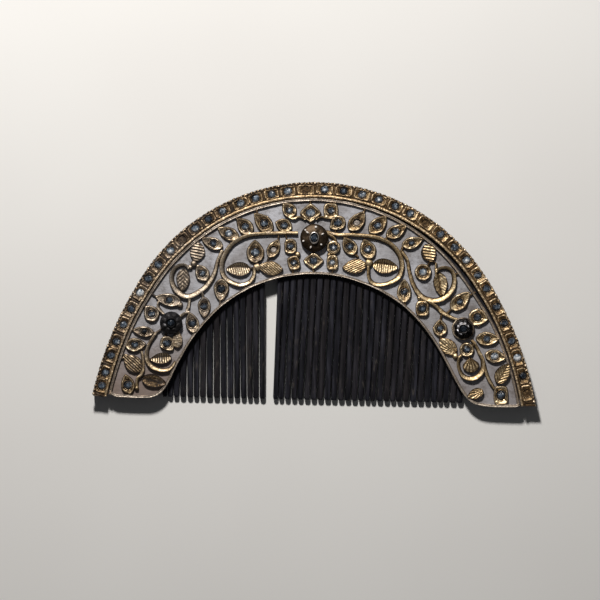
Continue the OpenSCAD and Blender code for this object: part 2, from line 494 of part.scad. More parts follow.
module dome() {
    rotate_extrude() polygon(concat([[0, 0], [dome_radius, 0]],
        [for (k = [0:8]) [dome_radius * cos(k * 11.25), foot + (dome_height - foot) * sin(k * 11.25)]]));
}

module on_rosette(k) {
    translate([rosettes[k][0], rosettes[k][1], metal_z + seat_height + air]) children();
}

module rosette_centre() {
    color(dark_colour) on_rosette(0) difference() {
        union() {
            dome();
            cylinder(r = 1.55, h = 2.2);
            for (d = dots) rotate(d[0]) translate([d[1], 0, dome_z(d[1]) - 0.1]) sphere(r = dot_radius);
        }
        translate([0, 0, 1.5]) cylinder(r = centre_stone_radius + seat_room, h = 3);
    }
}

// A side rosette of radius r: lobes round a raised seat for its stone
module lobed(k, r) {
    lobe = r * 0.3;
    color(dark_colour) on_rosette(k) difference() {
        union() {
            cylinder(r = r * 0.8, h = 1.0);
            for (j = [0:lobe_count - 1]) rotate(j * 360 / lobe_count)
                translate([r * 0.68, 0, 0]) {
                    cylinder(r = lobe, h = 0.7);
                    translate([0, 0, 0.7]) sphere(r = lobe);
                }
            cylinder(r = lobed_collar_radius, h = 1.75);
        }
        translate([0, 0, 1.05]) cylinder(r = lobed_stone_radius + seat_room, h = 3);
        translate([0, 0, -5]) cylinder(r = r * 2, h = 5);
    }
}

module rosette_stones() {
    color(stone_colour) {
        on_rosette(0) translate([0, 0, 1.5 + air]) stone(centre_stone_radius);
        for (k = [1, 2]) on_rosette(k) translate([0, 0, 1.05 + air]) stone(lobed_stone_radius);
    }
}

horn_comb();
silver_ground();
panel();
border_band();
panel_stones();
border_stones();
rosette_centre();
lobed(1, left_rosette_radius);  // rosette_left
lobed(2, right_rosette_radius);  // rosette_right
rosette_stones();
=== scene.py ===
# %% [markdown]
# # A half-moon hair comb: horn, gilt openwork and rose-cut stones
#
# The comb lies flat on its back. Its construction is already fixed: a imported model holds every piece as
# a plain solid at its real size. This lesson keeps those places and sizes and gives each piece the form
# and finish of the real one: dished settings, engraved leaves, slanted vines, faceted stones, worn gilding.

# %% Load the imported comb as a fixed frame
import math
import random

import bmesh
import bpy
import numpy as np
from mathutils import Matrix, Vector, noise


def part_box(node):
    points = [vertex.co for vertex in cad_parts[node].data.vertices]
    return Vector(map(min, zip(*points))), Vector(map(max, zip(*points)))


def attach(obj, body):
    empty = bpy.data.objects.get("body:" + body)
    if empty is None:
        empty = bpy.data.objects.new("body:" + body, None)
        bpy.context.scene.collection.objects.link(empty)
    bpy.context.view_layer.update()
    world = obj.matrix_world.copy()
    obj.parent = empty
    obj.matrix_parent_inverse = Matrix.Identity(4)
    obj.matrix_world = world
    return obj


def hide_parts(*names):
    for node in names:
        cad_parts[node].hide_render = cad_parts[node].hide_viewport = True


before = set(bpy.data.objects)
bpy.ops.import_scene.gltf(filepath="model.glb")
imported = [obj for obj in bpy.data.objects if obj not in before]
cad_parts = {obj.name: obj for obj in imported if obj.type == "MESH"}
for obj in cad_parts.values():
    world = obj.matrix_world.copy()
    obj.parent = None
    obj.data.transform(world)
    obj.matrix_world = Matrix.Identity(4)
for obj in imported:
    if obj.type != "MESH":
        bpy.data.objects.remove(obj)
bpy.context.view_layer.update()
print("nodes:", sorted(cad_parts))

# %% [markdown]
# ## Heights come from the frame
#
# A goldsmith measures from the plate that the work is soldered to. Here every height is counted from the
# level where the metalwork starts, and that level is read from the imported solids. Lengths are written in
# millimetres, as on a workshop drawing, and turned into Blender's metres only when a mesh is made.

# %% Levels, in millimetres
mm = 0.001
horn_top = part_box("horn_comb")[1].z / mm
metal_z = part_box("panel")[0].z / mm
seat_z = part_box("rosette_centre")[0].z / mm - metal_z
print(f"horn top {horn_top:.2f}, metalwork from {metal_z:.2f}, rosettes sit {seat_z:.2f} above that")

# %% [markdown]
# ## The rim
#
# The comb's outer edge is three arcs: a crown and two flatter flanks. Everything in the border follows it,
# so one function gives a point on it from the length along the rim and a distance inward.

# %% The rim as a function of length and inset
crown_radius = 55.3
crown_y = -24.7
shoulder = math.radians(33)
left_radius = 100.2
right_radius = 92.7
left_foot_y = -27.4
right_foot_y = -30.3
crown_s = left_radius * shoulder
right_s = crown_s + crown_radius * (math.pi - 2 * shoulder)


def flank_centre(radius, side):
    off = radius - crown_radius
    return np.array([-side * off * math.cos(shoulder), crown_y - off * math.sin(shoulder)])


left_centre = flank_centre(left_radius, -1)
right_centre = flank_centre(right_radius, 1)


def rim_angle(s):
    if s < crown_s:
        return math.pi - s / left_radius
    if s < right_s:
        return math.pi - shoulder - (s - crown_s) / crown_radius
    return shoulder - (s - right_s) / right_radius


def rim(s, inset):
    a = rim_angle(s)
    outward = np.array([math.cos(a), math.sin(a)])
    if s < crown_s:
        return left_centre + (left_radius - inset) * outward
    if s < right_s:
        return np.array([0, crown_y]) + (crown_radius - inset) * outward
    return right_centre + (right_radius - inset) * outward


def left_s(y, inset=0.0):
    """Length along the rim where the left flank, moved inward, crosses the height y."""
    return left_radius * math.asin((y - left_centre[1]) / (left_radius - inset))


def right_s_at(y, inset=0.0):
    fall = shoulder - math.asin((y - right_centre[1]) / (right_radius - inset))
    return right_s + right_radius * fall


def along_rim(s, table):
    """Reads a table of (length along the rim, value), with straight lines between its rows."""
    columns = np.array(table)
    return float(np.interp(s, columns[:, 0], columns[:, 1]))


start_s = left_s(left_foot_y)
end_s = right_s_at(right_foot_y)
print(f"the rim is {end_s - start_s:.1f} mm long")

# %% [markdown]
# ## Smooth lines from few points
#
# A vine is drawn with a handful of points, the way an engraver marks a scroll before cutting it. A
# Catmull-Rom curve passes through all of them, which a Bezier curve's handles would not promise.

# %% Curves, their left side and their bend
def curve(points, steps):
    p = np.array(points, float)
    p = np.vstack([p[0], p, p[-1]])
    out = []
    for i in range(1, len(p) - 2):
        a, b, c, d = p[i - 1], p[i], p[i + 1], p[i + 2]
        for k in range(steps):
            t = k / steps
            out.append(0.5 * (2 * b + (c - a) * t + (2 * a - 5 * b + 4 * c - d) * t * t
                              + (3 * b - a - 3 * c + d) * t ** 3))
    out.append(p[-1])
    return np.array(out)


def left_of(line, closed=False):
    """Unit vectors to the left of the line at each of its points."""
    path = np.vstack([line[-1], line, line[0]]) if closed else line
    along = np.gradient(path, axis=0)
    along /= np.linalg.norm(along, axis=1)[:, None]
    side = np.stack([-along[:, 1], along[:, 0]], axis=1)
    return side[1:-1] if closed else side


def bend_of(line):
    """How sharply the line turns to its left at each point, per millimetre."""
    side = left_of(line)
    turn = np.gradient(np.unwrap(np.arctan2(side[:, 1], side[:, 0])))
    step = np.linalg.norm(np.gradient(line, axis=0), axis=1)
    return turn / step


def smooth_blend(a, b, t):
    return a + (b - a) * t * t * (3 - 2 * t)


# %% [markdown]
# ## Lofts
#
# Nearly every shape here is a loft: rows of points joined by quads, closed at both ends. Each point also
# carries three numbers. Wear goes from 0 in a recess that keeps its dirt to 1 on a ridge that is rubbed
# bright, tone makes one leaf a little paler than the next, and bare says where the gilding has gone and
# the silver shows. The finishes read them later, so the wear looks the same from every side.

# %% Collecting points, faces and wear
layers = ("wear", "tone", "bare")


def new_work():
    return {"points": [], "faces": [], "wear": [], "tone": [], "bare": []}


def each(value, n):
    """A list of n numbers from one number or from n of them."""
    return [float(value)] * n if np.isscalar(value) else [float(v) for v in value]


def loft(work, rows, wear, tone=0.5, bare=0.0, closed=False):
    """Joins closed rows of points, all of one length. wear has a number for each row or for each point."""
    first = len(work["points"])
    n = len(rows[0])
    bares = bare if isinstance(bare, list) else [bare] * len(rows)
    for row, w, b in zip(rows, wear, bares):
        work["points"].extend(tuple(q) for q in row)
        work["wear"].extend(each(w, n))
        work["tone"].extend(each(tone, n))
        work["bare"].extend(each(b, n))
    for r in range(len(rows) if closed else len(rows) - 1):
        here = first + r * n
        there = first + (r + 1) % len(rows) * n
        for k in range(n):
            j = (k + 1) % n
            work["faces"].append((here + k, here + j, there + j, there + k))
    if not closed:
        last = first + (len(rows) - 1) * n
        work["faces"].append(tuple(first + k for k in reversed(range(n))))
        work["faces"].append(tuple(last + k for k in range(n)))


def ring(radius, z, n):
    return [(radius * math.cos(2 * math.pi * k / n), radius * math.sin(2 * math.pi * k / n), z)
            for k in range(n)]


def placed(row, x, y, turn, lift=0.0):
    c, s = math.cos(turn), math.sin(turn)
    return [(x + px * c - py * s, y + px * s + py * c, metal_z + lift + pz) for px, py, pz in row]


# %% [markdown]
# ## Nothing here is machine-made
#
# Every edge was filed by hand, so no plate is truly flat and no wire truly even. After a piece is lofted,
# a smooth noise moves its upper points by a few hundredths of a millimetre. The feet stay where they are,
# because they are soldered down. Blender's vector noise starts from the clock unless it gets a seed, so one
# is set first and every run gives the same comb.

# %% Turning collected work into a piece of the comb
soldered_height = 0.15
loosens_over = 0.4
long_wave, short_wave, short_share = 0.7, 2.1, 0.8
noise.seed_set(3)


def hand_made(point, depth):
    """Moves a point of the metalwork a little, by an amount that changes smoothly from place to place."""
    lifted = min(max((point[2] - metal_z - soldered_height) / loosens_over, 0.0), 1.0)
    drift = noise.noise_vector(Vector(point) * long_wave)
    drift = drift + short_share * noise.noise_vector(Vector(point) * short_wave)
    return tuple(c + depth * lifted * d for c, d in zip(point, drift))


crease_angle = math.radians(38)


def place_piece(name, points, faces, finish, node):
    """A mesh object, its points given in millimetres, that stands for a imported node."""
    mesh = bpy.data.meshes.new(name)
    mesh.from_pydata([(x * mm, y * mm, z * mm) for x, y, z in points], [], faces)
    mesh.materials.append(finish)
    piece = bpy.data.objects.new(name, mesh)
    bpy.context.scene.collection.objects.link(piece)
    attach(piece, "root")
    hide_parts(node)
    size = [round(v / mm, 1) for v in piece.dimensions]
    print(f"{name}: {len(mesh.polygons)} faces, {size} mm")
    return mesh


def make_piece(name, work, finish, node, hand=0.0):
    """Turns lofted work into a piece. Hand is how far its surface may drift."""
    points = [hand_made(p, hand) for p in work["points"]] if hand else work["points"]
    mesh = place_piece(name, points, work["faces"], finish, node)
    for layer in layers:
        mesh.attributes.new(layer, "FLOAT", "POINT").data.foreach_set("value", work[layer])
    shaper = bmesh.new()
    shaper.from_mesh(mesh)
    bmesh.ops.recalc_face_normals(shaper, faces=shaper.faces)
    shaper.to_mesh(mesh)
    shaper.free()
    mesh.shade_smooth()
    mesh.set_sharp_from_angle(angle=crease_angle)


# %% [markdown]
# ## Finishes from nodes
#
# All colour comes from procedural nodes in the object's own coordinates, so there are no image files.
# A small helper wires one node, which keeps each finish short enough to read as a recipe.

# %% A helper for wiring a finish
class Recipe:
    """A material whose nodes are added one by one and wired by name."""

    def __init__(self, name):
        self.material = bpy.data.materials.new(name)
        self.material.use_nodes = True
        self.tree = self.material.node_tree
        self.shader = self.tree.nodes["Principled BSDF"]
        self.place = self.tree.nodes.new("ShaderNodeTexCoord").outputs["Object"]

    def node(self, kind, links=None, **values):
        made = self.tree.nodes.new("ShaderNode" + kind)
        for key, value in values.items():
            made.inputs[key].default_value = value
        for key, source in (links or {}).items():
            self.tree.links.new(source, made.inputs[key])
        return made

    def noise(self, scale, detail=4.0, rough=0.55, stretch=(1, 1, 1)):
        """Soft noise whose scale is counted in blotches to the millimetre."""
        scaled = self.node("Mapping", {"Vector": self.place}, Scale=[v / mm for v in stretch])
        return self.node("TexNoise", {"Vector": scaled.outputs["Vector"]}, Scale=scale, Detail=detail,
                         Roughness=rough).outputs["Fac"]

    def ramp(self, source, *stops):
        """Maps a number to a colour. Each stop is (position, colour)."""
        made = self.node("ValToRGB", {"Fac": source})
        band = made.color_ramp
        while len(band.elements) < len(stops):
            band.elements.new(0.5)
        for element, (position, colour) in zip(band.elements, stops):
            element.position = position
            element.color = (*colour, 1)
        return made.outputs["Color"]

    def remap(self, source, low, high, to_low, to_high):
        made = self.node("MapRange", {"Value": source})
        for key, value in zip(("From Min", "From Max", "To Min", "To Max"), (low, high, to_low, to_high)):
            made.inputs[key].default_value = value
        return made.outputs["Result"]

    def maths(self, operation, a, b):
        made = self.node("Math")
        made.operation = operation
        for socket, value in zip(made.inputs, (a, b)):
            if isinstance(value, (int, float)):
                socket.default_value = value
            else:
                self.tree.links.new(value, socket)
        return made.outputs["Value"]

    def total(self, *parts):
        out = parts[0]
        for part in parts[1:]:
            out = self.maths("ADD", out, part)
        return out

    def mixed(self, share, a, b):
        """Blends two colours by a number from 0 to 1."""
        made = self.tree.nodes.new("ShaderNodeMix")
        made.data_type = "RGBA"
        for socket, value in zip((made.inputs[0], made.inputs[6], made.inputs[7]), (share, a, b)):
            if isinstance(value, tuple):
                socket.default_value = (*value, 1)
            else:
                self.tree.links.new(value, socket)
        return made.outputs[2]

    def kept(self, name):
        """The number that a mesh point or face carries under this name."""
        made = self.tree.nodes.new("ShaderNodeAttribute")
        made.attribute_name = name
        return made.outputs["Fac"]

    def bump(self, height, strength, distance):
        made = self.node("Bump", {"Height": height}, Strength=strength, Distance=distance * mm)
        self.tree.links.new(made.outputs["Normal"], self.shader.inputs["Normal"])

    def give(self, **sockets):
        """Sets or links the shader's sockets: a name's underscores stand for spaces."""
        for key, value in sockets.items():
            socket = self.shader.inputs[key.replace("_", " ")]
            if isinstance(value, (int, float)):
                socket.default_value = value
            elif isinstance(value, tuple):
                socket.default_value = (*value, 1)
            else:
                self.tree.links.new(value, socket)
        return self.material


# %% [markdown]
# ## Worn gilding
#
# Fire gilding wears off the ridges last touched by fingers and darkens in the hollows, where dirt and
# oxide stay. So the colour runs from a brown grime, over a dull gold, to a bright worn gold. Where the
# gold is quite gone a pinkish silver shows: widely on the left flank, in patches towards the middle,
# hardly on the right. Two noises break the change up, one as large as a leaf and one as fine as a pit,
# or it would look painted on. The roughness stays near a half: old gilding is scratched all over, so it
# gleams broadly and never mirrors.

# %% The gilt finishes
most_worn_x, most_worn_y = -40, 3


def gilding(name, golds, silvers, pit_depth, left_worn):
    """Golds run from grime to rubbed gold, silvers from dull to rubbed silver."""
    r = Recipe(name)
    across, along = r.node("SeparateXYZ", {"Vector": r.place}).outputs[:2]
    blotch = r.noise(0.30, 5.0, 0.6)
    pits = r.noise(1.9, 4.0, 0.65)
    # The last term is painted light: it lowers the wear number towards the left and raises it towards the
    # right, so the gilding is darker on the left and lighter on the right.
    rubbed = r.total(r.kept("wear"), r.remap(blotch, 0.3, 0.7, -0.16, 0.16),
                     r.remap(pits, 0.3, 0.7, -0.30, 0.24), r.remap(r.kept("tone"), 0, 1, -0.12, 0.10),
                     r.remap(across, -50 * mm, 35 * mm, -0.10, 0.10))
    gold = r.ramp(rubbed, *zip((0.04, 0.34, 0.66, 1.0), golds))
    silver = r.ramp(rubbed, *zip((0.10, 0.95), silvers))
    patches = r.maths("MULTIPLY", r.remap(r.noise(0.5, 4.0, 0.6), 0.54, 0.72, 0.0, 0.45),
                      r.remap(across, -5 * mm, 30 * mm, 1.0, 0.2))
    off_x = r.maths("ABSOLUTE", r.maths("SUBTRACT", across, most_worn_x * mm), 0)
    off_y = r.maths("ABSOLUTE", r.maths("SUBTRACT", along, most_worn_y * mm), 0)
    left_wear = r.maths("MULTIPLY", r.remap(off_x, 8 * mm, 34 * mm, left_worn, 0.0),
                        r.remap(off_y, 9 * mm, 26 * mm, 1.0, 0.1))
    bare = r.maths("MAXIMUM", r.kept("bare"), r.maths("ADD", patches, left_wear))
    colour = r.mixed(bare, gold, silver)
    fine = r.maths("MULTIPLY", r.noise(7.0, 2.0), 0.35)
    r.bump(r.total(pits, fine), pit_depth, 0.22)
    return r.give(Base_Color=colour, Metallic=r.remap(rubbed, 0.0, 0.35, 0.55, 1.0),
                  Roughness=r.total(r.remap(rubbed, 0.1, 0.95, 0.60, 0.44),
                                    r.maths("MULTIPLY", r.kept("bare"), 0.05)))


panel_golds = (0.022, 0.014, 0.009), (0.14, 0.088, 0.045), (0.45, 0.320, 0.17), (0.90, 0.715, 0.45)
panel_silvers = (0.10, 0.085, 0.075), (0.80, 0.72, 0.65)
border_golds = (0.024, 0.015, 0.009), (0.15, 0.092, 0.046), (0.43, 0.295, 0.150), (0.84, 0.640, 0.385)
border_silvers = (0.10, 0.08, 0.07), (0.72, 0.64, 0.57)
panel_gilt = gilding("panel gilding", panel_golds, panel_silvers, 0.40, 0.50)
border_gilt = gilding("border gilding", border_golds, border_silvers, 0.45, 0.35)
print("two gildings: the border's is redder, more pitted and less worn at the left than the panel's")

# %% [markdown]
# ## Horn, silver, stones and blackened metal
#
# Black horn is not one black: it has paler streaks along the grain, which runs with the teeth, some teeth
# are browner than others, and dust clings to the saw marks. The silver sheet was left matt, has tarnished
# in patches and is stained brown towards the feet. The stones are rose-cut over dark foil, so most of what
# shows is grey-blue; their one or two bright facets are painted highlights. On the darkened metals only the
# proudest spots are rubbed to silver. Those are made less metallic, so that they stay pale from every side.

# %% Horn
def horn():
    r = Recipe("black horn")
    grain = r.noise(1.0, 6.0, 0.65, (0.9, 0.06, 0.9))
    colour = r.ramp(grain, (0.30, (0.003, 0.003, 0.004)), (0.52, (0.012, 0.012, 0.017)),
                    (0.76, (0.046, 0.046, 0.062)))
    brown = r.maths("MULTIPLY", r.remap(r.kept("tone"), 0.4, 1.0, 0.0, 0.7),
                    r.remap(grain, 0.35, 0.7, 0.2, 1.0))
    colour = r.mixed(brown, colour, (0.029, 0.023, 0.021))
    specks = r.noise(0.65, 6.0, 0.75, (1, 0.28, 1))
    dusty = r.maths("MULTIPLY", r.remap(specks, 0.58, 0.72, 0.0, 0.8), r.kept("wear"))
    colour = r.mixed(dusty, colour, (0.14, 0.12, 0.10))
    r.bump(r.noise(2.2, 3.0, 0.6, (0.5, 2.6, 0.5)), 0.25, 0.10)
    return r.give(Base_Color=colour, Roughness=r.remap(grain, 0.3, 0.8, 0.42, 0.60),
                  Specular_IOR_Level=0.22)


# %% Matt silver sheet
def matt_silver():
    r = Recipe("matt silver")
    cloud = r.noise(0.12, 5.0, 0.6)
    brushed = r.noise(2.4, 3.0, 0.6, (0.25, 1.0, 1.0))
    colour = r.ramp(cloud, (0.32, (0.40, 0.375, 0.375)), (0.50, (0.58, 0.575, 0.605)),
                    (0.68, (0.74, 0.745, 0.80)))
    stains = r.remap(r.noise(0.45, 6.0, 0.72), 0.50, 0.72, 0.0, 0.75)
    colour = r.mixed(stains, colour, (0.17, 0.145, 0.13))
    across, along = r.node("SeparateXYZ", {"Vector": r.place}).outputs[:2]
    foot_stain = r.maths("MULTIPLY", r.remap(along, -24 * mm, -6 * mm, 1.0, 0.0),
                         r.remap(across, -45 * mm, 45 * mm, 0.85, 0.30))
    colour = r.mixed(foot_stain, colour, (0.37, 0.275, 0.225))
    r.bump(r.total(brushed, r.noise(6.0)), 0.2, 0.05)
    return r.give(Base_Color=colour, Metallic=0.85, Roughness=r.remap(brushed, 0.3, 0.7, 0.47, 0.58))


# %% Cut stones
def cut_stone():
    r = Recipe("rose-cut stone")
    cloud = r.remap(r.noise(1.3, 3.0), 0.3, 0.7, -0.10, 0.10)
    colour = r.ramp(r.total(r.kept("glint"), cloud), (0.02, (0.008, 0.011, 0.016)),
                    (0.34, (0.070, 0.092, 0.125)), (0.66, (0.26, 0.32, 0.385)), (1.0, (0.95, 0.96, 0.97)))
    r.bump(r.noise(2.5, 3.0), 0.12, 0.05)
    return r.give(Base_Color=colour, Roughness=0.12, Specular_IOR_Level=0.6, Coat_Weight=0.4,
                  Coat_Roughness=0.05)


# %% Dark bronze and blackened silver
def darkened(name, hollow, body, ridge):
    r = Recipe(name)
    pits = r.noise(1.4, 5.0, 0.65)
    rubbed = r.total(r.kept("wear"), r.remap(pits, 0.3, 0.7, -0.18, 0.18))
    colour = r.ramp(rubbed, (0.08, hollow), (0.50, body), (0.95, ridge))
    r.bump(r.total(pits, r.noise(5.0)), 0.3, 0.10)
    dull = r.maths("MULTIPLY", r.kept("tone"), 0.3)
    return r.give(Base_Color=colour, Metallic=r.remap(rubbed, 0.8, 1.2, 0.85, 0.15),
                  Roughness=r.total(r.remap(rubbed, 0.1, 0.9, 0.36, 0.44), dull))


horn_finish = horn()
silver_finish = matt_silver()
stone_finish = cut_stone()
bronze_finish = darkened("dark bronze", (0.010, 0.007, 0.004), (0.078, 0.052, 0.031), (0.92, 0.87, 0.82))
black_finish = darkened("blackened silver", (0.006, 0.006, 0.007), (0.045, 0.042, 0.043),
                        (0.74, 0.73, 0.77))
print("finishes:", [m.name for m in bpy.data.materials if m.users])

# %% [markdown]
# ## The arch
#
# Teeth, silver sheet and panel all end along one inner arch. Its middle line is drawn from the
# left foot to the right foot, and the other pieces are set off from it by small amounts.

# %% Middle line of the inner arch
arch_points = [
    [-47.6, -27.55], [-44.3, -27.45], [-42.2, -26.75], [-40.5, -25.15], [-39, -22.65], [-37.3, -19.15],
    [-35.15, -15.2], [-32.55, -11.1], [-29.4, -7.25], [-25.6, -3.4], [-21.1, -0.1], [-15.8, 2.7],
    [-9.9, 4.7], [-4, 5.65], [0, 5.8], [5, 5.5], [9.8, 4.45], [15.8, 2.25], [21.2, -0.65], [25.7, -4.1],
    [29.6, -8.3], [33, -13.05], [35.5, -17.4], [37.7, -21.6], [39.9, -25.5], [41.7, -27.9], [44, -29.4],
    [48, -30.05]]
arch = curve(arch_points, 4)
plate_offset = 0.26
foot_end_x = -47.6, 48.5


def arch_y(x):
    return float(np.interp(x, arch[:, 0], arch[:, 1]))


def crescent(inset, lift):
    """Outline of the spine, inset from the rim and lifted from the arch."""
    outer = [rim(start_s + inset + (end_s - start_s - 2 * inset) * i / 96, inset) for i in range(97)]
    inner = (arch + left_of(arch) * (lift - plate_offset))[::-1]
    left_end = np.array([foot_end_x[0], left_foot_y + lift])
    right_end = np.array([foot_end_x[1], right_foot_y + lift])
    return [*outer, right_end, *inner, left_end]


print(f"the arch rises to y = {arch[:, 1].max():.2f} mm")

# %% [markdown]
# ## The horn plate
#
# The real comb is cut from one flat plate of horn: the spine is rounded along its edges, and each kerf is
# sawn by hand, so the teeth lean a little and some have warped until their tips touch. One tooth has
# broken out. Each tooth is a loft of rounded rectangles that get thinner towards the tip.

# %% Teeth: x of the tip of each, left to right
tip_xs = [-40.3, -38.8, -37.2, -35.4, -33.5, -31.8, -30.1, -28.2, -26.3, -24.4, -22.6, -20.8, -19,
          -17.3, -15.7, -13.9, -12.1, -10.4, -8.9, -7.2, -5.4, -3.7, -1.9, -0.1, 1.7, 3.6, 5.4, 7.3,
          9.1, 10.9, 12.7, 14.4, 15.9, 17.7, 19.6, 21.3, 23, 24.8, 26.8, 28.7, 30.6, 32.4, 34, 35.6,
          37.5, 39.4]
tip_y, tip_slant = -28.45, 0.021
broken = 16
tooth_pitch = 1.772
saw_cut = 0.32
bevel_length = 0.6
tip_cut = 0.18
root_ends = -40.6, 41.2
root_depth = 1.3
left_lean, right_lean, lean_growth = -0.008, 0.037, 0.024


def root_of(i, tip):
    """Where a tooth leaves the spine: the pitch is even there, and the right-hand teeth lean left."""
    even = tip_xs[0] + tooth_pitch * i
    last_right = len(tip_xs) - broken - 2
    lean = left_lean if i < broken else right_lean + lean_growth * (i - broken - 1) / last_right
    x = min(max(even + lean * (arch_y(even) - tip[1]), root_ends[0]), root_ends[1])
    return np.array([x, arch_y(x) + root_depth])


def tip_pitch(i):
    """Distance between the tips on both sides of tooth i, for one tooth."""
    a, b = max(i - 1, 0), min(i + 1, len(tip_xs) - 1)
    return (tip_xs[b] - tip_xs[a]) / (b - a)


thins_from_y, thins_over = 8, 38
tip_bottom, tip_top = 0.45, 1.55


def thickness_at(y):
    """Lowest and highest z of the teeth at y: they thin towards the tips on both faces."""
    t = min(max((thins_from_y - y) / thins_over, 0), 1)
    return tip_bottom * t, horn_top - (horn_top - tip_top) * t


def rounded_section(half_width, low, high, corner):
    """Rounded rectangle across a tooth, as (sideways, z) with three points to a corner."""
    out = []
    for sx, sz, turn in ((1, 1, 0), (-1, 1, 90), (-1, -1, 180), (1, -1, 270)):
        cx = sx * (half_width - corner)
        cz = (high if sz > 0 else low) - sz * corner
        for a in (0, 45, 90):
            angle = math.radians(turn + a)
            out.append((cx + corner * math.cos(angle), cz + corner * math.sin(angle)))
    return out


rounds_over, rounded_by = 0.5, 0.16
last_rows = 0.35, 0.15, 0.04, 0.0


def saw_tooth(work, i, chance):
    tip = np.array([tip_xs[i], tip_y - tip_slant * tip_xs[i]])
    root = root_of(i, tip)
    length = np.linalg.norm(tip - root)
    along = (tip - root) / length
    side = np.array([-along[1], along[0]])
    root_half, low_half = (tooth_pitch - saw_cut) / 2, (tip_pitch(i) - saw_cut) / 2
    warp = chance.uniform(-0.05, 0.05)
    rows, wear = [], []
    for d in [*np.linspace(0, length - bevel_length, 12), *(length - f for f in last_rows)]:
        to_tip = length - d
        if to_tip > bevel_length:
            half = root_half + (low_half - root_half) * d / length
        else:
            half = low_half - tip_cut * (1 - math.sqrt(to_tip / bevel_length))
        middle = root + along * d + side * warp * math.sin(math.pi * d / length)
        low, high = thickness_at(middle[1])
        ease = rounded_by * max(0, 1 - to_tip / rounds_over)
        section = rounded_section(half, low + ease, high - ease, min(0.30, half * 0.7))
        rows.append([(*(middle + side * u), z) for u, z in section])
        wear.append(0.35 + 0.5 * (d / length))
    loft(work, rows, wear, chance.random())


# %% Build the horn plate
horn_work = new_work()
chance = random.Random(7)
for i in range(len(tip_xs)):
    if i != broken:
        saw_tooth(horn_work, i, chance)
spine_inset, spine_lift = 0.55, 0.5
# columns: mm in from the edge, z, wear
edge_rounding = [(0.30, 0.0, 0.2), (0.10, 0.09, 0.5), (0.0, 0.30, 0.7), (0.0, horn_top - 0.30, 0.7),
                 (0.10, horn_top - 0.09, 0.5), (0.30, horn_top, 0.2)]
spine_rows = [[(*q, z) for q in crescent(spine_inset + inset, spine_lift + inset)]
              for inset, z, _ in edge_rounding]
loft(horn_work, spine_rows, [w for _, _, w in edge_rounding])
make_piece("horn_plate", horn_work, horn_finish, "horn_comb")
print(f"{len(tip_xs) - 1} teeth stand at {tooth_pitch} mm")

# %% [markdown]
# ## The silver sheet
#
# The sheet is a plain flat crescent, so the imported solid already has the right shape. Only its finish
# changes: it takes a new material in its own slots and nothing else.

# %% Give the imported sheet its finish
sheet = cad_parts["silver_ground"]
sheet.data.materials.clear()
sheet.data.materials.append(silver_finish)
print("silver sheet:", len(sheet.data.polygons), "faces kept as packed")

# %% [markdown]
# ## Leaf outlines
#
# Most settings are shaped like a leaf round their stone, the rest are squares, rounds and rhombs. All of
# them are closed outlines with the stone at the origin and the tip along +X, so one loft can dish them all.
# Sway bends the tip to one side, as a leaf on a scroll would grow.

# %% Outlines around a stone
setting_back = 0.46


def leaf_half(u, width, lean=0.82):
    """Half the width of a leaf at share u of its length. Lean moves the widest place along it."""
    return width / 2 * max(math.sin(math.pi * u ** lean), 0) ** 0.72


def leaf_outline(length, width, sway, n):
    upper, lower = [], []
    for i in range(n + 1):
        u = 0.5 - 0.5 * math.cos(math.pi * i / n)
        x = (u - setting_back) * length
        aside = sway * (max(x, 0) / ((1 - setting_back) * length)) ** 2
        half = leaf_half(u, width)
        upper.append((x, aside + half))
        lower.append((x, aside - half))
    return upper[::-1] + lower[1:-1]


def rounded_outline(length, width, power, n):
    out = []
    for i in range(n):
        c, s = math.cos(2 * math.pi * i / n), math.sin(2 * math.pi * i / n)
        out.append((length / 2 * math.copysign(abs(c) ** (2 / power), c),
                    width / 2 * math.copysign(abs(s) ** (2 / power), s)))
    return out


# %% [markdown]
# ## One setting
#
# A goldsmith turns up the edge of the plate to a rounded rim, leaves the floor behind it a little lower and
# duller, cuts a groove round the stone's place and rubs a narrow bezel over the stone. Seen from above that
# is: bright rim, brownish floor, dark groove, thin ring. The profile below says it as a table, and each row
# is a loop of points round the stone. No loop is even: a few slow waves push it in and out and up and down.
# Where the stone has fallen out, the loft goes on down to the bare, pale floor of the seat.

# %% The profile of a setting and its loft
edge, slope, bezel, seat = 0, 1, 2, 3
# columns: kind of loop; mm in from the edge, share of the slope, mm outside the stone or share of the
# seat; z; wear; bare
setting_profile = [
    (edge, 0.00, 0.00, 0.00, 0), (edge, 0.00, 0.40, 0.00, 0), (edge, 0.07, 0.64, 0.30, 0),
    (edge, 0.18, 0.84, 0.72, 0.1), (edge, 0.32, 0.96, 0.95, 0.2), (edge, 0.48, 0.96, 0.85, 0.1),
    (edge, 0.64, 0.90, 0.60, 0), (edge, 0.80, 0.84, 0.52, 0), (slope, 0.30, 0.82, 0.62, 0),
    (slope, 0.65, 0.79, 0.62, 0), (slope, 1.00, 0.70, 0.36, 0), (bezel, 0.35, 0.56, 0.02, 0),
    (bezel, 0.28, 0.78, 0.40, 0), (bezel, 0.20, 0.92, 0.74, 0.2), (bezel, 0.10, 0.90, 0.62, 0.1),
    (bezel, 0.00, 0.74, 0.00, 0), (bezel, -0.02, 0.32, 0.00, 0)]
empty_seat = [(seat, 0.92, 0.34, 0.35, 0.9), (seat, 0.60, 0.36, 0.75, 1.0), (seat, 0.25, 0.35, 0.65, 1.0)]
slope_start = 0.80
wide_collar = 0.38
waves_above = 0.7


def wobble(chance, n, depth):
    """Numbers round a loop that rise and fall smoothly, as a hand-filed edge does."""
    waves = [(count, chance.uniform(0, 6.3), chance.uniform(0.5, 1)) for count in (2, 3, 5, 7)]
    turns = np.linspace(0, 2 * math.pi, n, endpoint=False)
    return depth * sum(size * np.sin(count * turns + start) for count, start, size in waves) / 1.6


